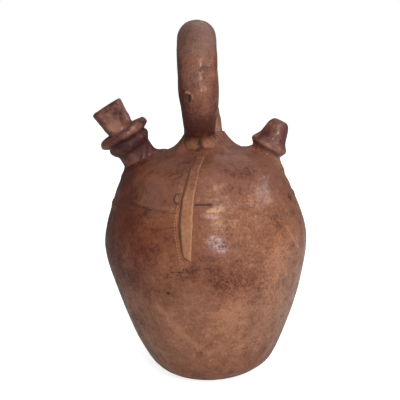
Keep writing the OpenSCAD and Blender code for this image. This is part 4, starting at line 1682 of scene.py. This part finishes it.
@dataclass
class Lamp:
    """A soft lamp: where it stands round the jug, its size and its power."""

    name: str
    azimuth: float
    elevation: float
    distance: float
    width: float
    height: float
    power: float
    colour: Colour = (1.0, 1.0, 1.0)

    def build(self, target: Vector) -> None:
        """Hangs the lamp and points it at a place."""
        data = bpy.data.lights.new(self.name, "AREA")
        data.shape = "RECTANGLE"
        data.size, data.size_y = self.width, self.height
        data.energy = self.power
        data.color = self.colour
        lamp = add_object(self.name, data)
        a, e = math.radians(self.azimuth), math.radians(self.elevation)
        way = Vector((math.sin(a) * math.cos(e), -math.cos(a) * math.cos(e), math.sin(e)))
        lamp.location = target + way * self.distance
        lamp.rotation_euler = way.to_track_quat("Z", "Y").to_euler()


@dataclass
class Studio:
    """Camera, lamps, floor and the pale surroundings."""

    eye: tuple[float, float, float] = (-3.35, -560.0, 275.0)
    pitch: float = 11.689
    roll: float = -3.472
    lens: float = 55.69
    floor_radius: float = 6.0
    floor_drop: float = 0.0004
    world_light: float = 0.16
    floor_glow: float = 0.78
    fade_from: float = 0.16
    fade_to: float = 0.6
    lamps: tuple[Lamp, ...] = (
        Lamp("key_lamp", 36, 40, 1.5, 0.9, 0.9, 4.0, (1.0, 0.95, 0.89)),
        Lamp("top_lamp", 5, 72, 1.2, 1.0, 1.0, 4.0, (0.98, 0.98, 1.0)),
        Lamp("window_lamp", 12, 9, 1.6, 0.27, 0.27, 7.6, (0.76, 0.84, 1.0)),
        Lamp("warm_lamp", 15, 30, 1.6, 0.4, 0.15, 7.8, (1.0, 0.76, 0.46)),
        Lamp("side_lamp", 84, 25, 1.5, 1.1, 0.09, 3.5, (0.84, 0.91, 1.0)),
        Lamp("back_lamp", 150, 55, 1.8, 1.6, 1.6, 4.5),
    )

    def build(self) -> None:
        """Sets the camera, the lamps, the floor and the world."""
        self.camera()
        for lamp in self.lamps:
            lamp.build(Vector((0.0, 0.0, 0.15)))
        self.floor()
        self.world()
        bpy.context.scene.view_settings.view_transform = "Standard"

    def camera(self) -> None:
        """Stands the camera where the photograph was taken from."""
        data = bpy.data.cameras.new("camera")
        data.lens = self.lens
        data.sensor_width = 36.0
        data.clip_start = 0.01
        camera = add_object("camera", data)
        camera.matrix_world = (
            Matrix.Translation(Vector(self.eye) * MM)
            @ Matrix.Rotation(math.radians(90.0 - self.pitch), 4, "X")
            @ Matrix.Rotation(math.radians(self.roll), 4, "Z")
        )
        bpy.context.scene.camera = camera

    def floor(self) -> None:
        """Lays a round pale floor that fades to white away from the jug's shadow."""
        turn = np.radians(np.arange(0, 360, 5.0))
        rim = around(self.floor_radius, 0.0, turn)
        mesh = bpy.data.meshes.new("floor")
        mesh.from_pydata(rim.tolist(), [], [tuple(range(len(rim)))])
        floor = add_object("floor", mesh)
        floor.location.z = -self.floor_drop
        material, sheet, shader = new_material("pale_floor")
        seen = sheet.wires(sheet.add("ShaderNodeLightPath"))["Is Camera Ray"]
        away = sheet.add("ShaderNodeVectorMath", {0: sheet.places()}, operation="LENGTH")
        far = sheet.wires(away)["Value"].ramp(self.fade_from, self.fade_to)
        sheet.feed(shader, {
            "Base Color": (0.86, 0.86, 0.86, 1.0),
            "Roughness": 0.9,
            "Specular IOR Level": 0.1,
            "Emission Color": (1.0, 1.0, 1.0, 1.0),
            "Emission Strength": seen * (far * (1.0 - self.floor_glow) + self.floor_glow),
        })
        mesh.materials.append(material)

    def world(self) -> None:
        """Surrounds the jug with soft light, and shows white where it is seen."""
        world = bpy.data.worlds.new("surroundings")
        bpy.context.scene.world = world
        world.use_nodes = True
        sheet = Sheet(world.node_tree)
        path = sheet.wires(sheet.add("ShaderNodeLightPath"))
        seen = sheet.math("MAXIMUM", path["Is Camera Ray"], path["Is Transmission Ray"])
        strength = seen * (1.0 - self.world_light) + self.world_light
        ground = world.node_tree.nodes["Background"]
        sheet.feed(ground, {"Strength": strength, "Color": (1.0, 1.0, 1.0, 1.0)})


def main() -> None:
    """Builds the jug's looks, piece by piece, and the studio around it."""
    logging.basicConfig(level=logging.INFO, format="%(name)s: %(message)s")
    wardrobe = Wardrobe()
    form = JugForm()
    filler, spout = filler_neck(form), drinking_spout(form)
    hide = BodyHide(form)
    hide.dress(wardrobe, (filler, spout))
    filler.dress(wardrobe)
    spout.dress(wardrobe)
    Handle(form, hide).dress(wardrobe)
    Stopper(filler).dress(wardrobe)
    for node in ("clay_bowl", "clay_dome", "clay_spout", "clay_handle"):
        wardrobe.dress_node(node, Finish.CLAY)
    wardrobe.dress_node("clay_filler_neck", Finish.SOAKED)
    wardrobe.dress_node("stopper_core", Finish.WOOD)
    Studio().build()


if __name__ == "__main__":
    main()
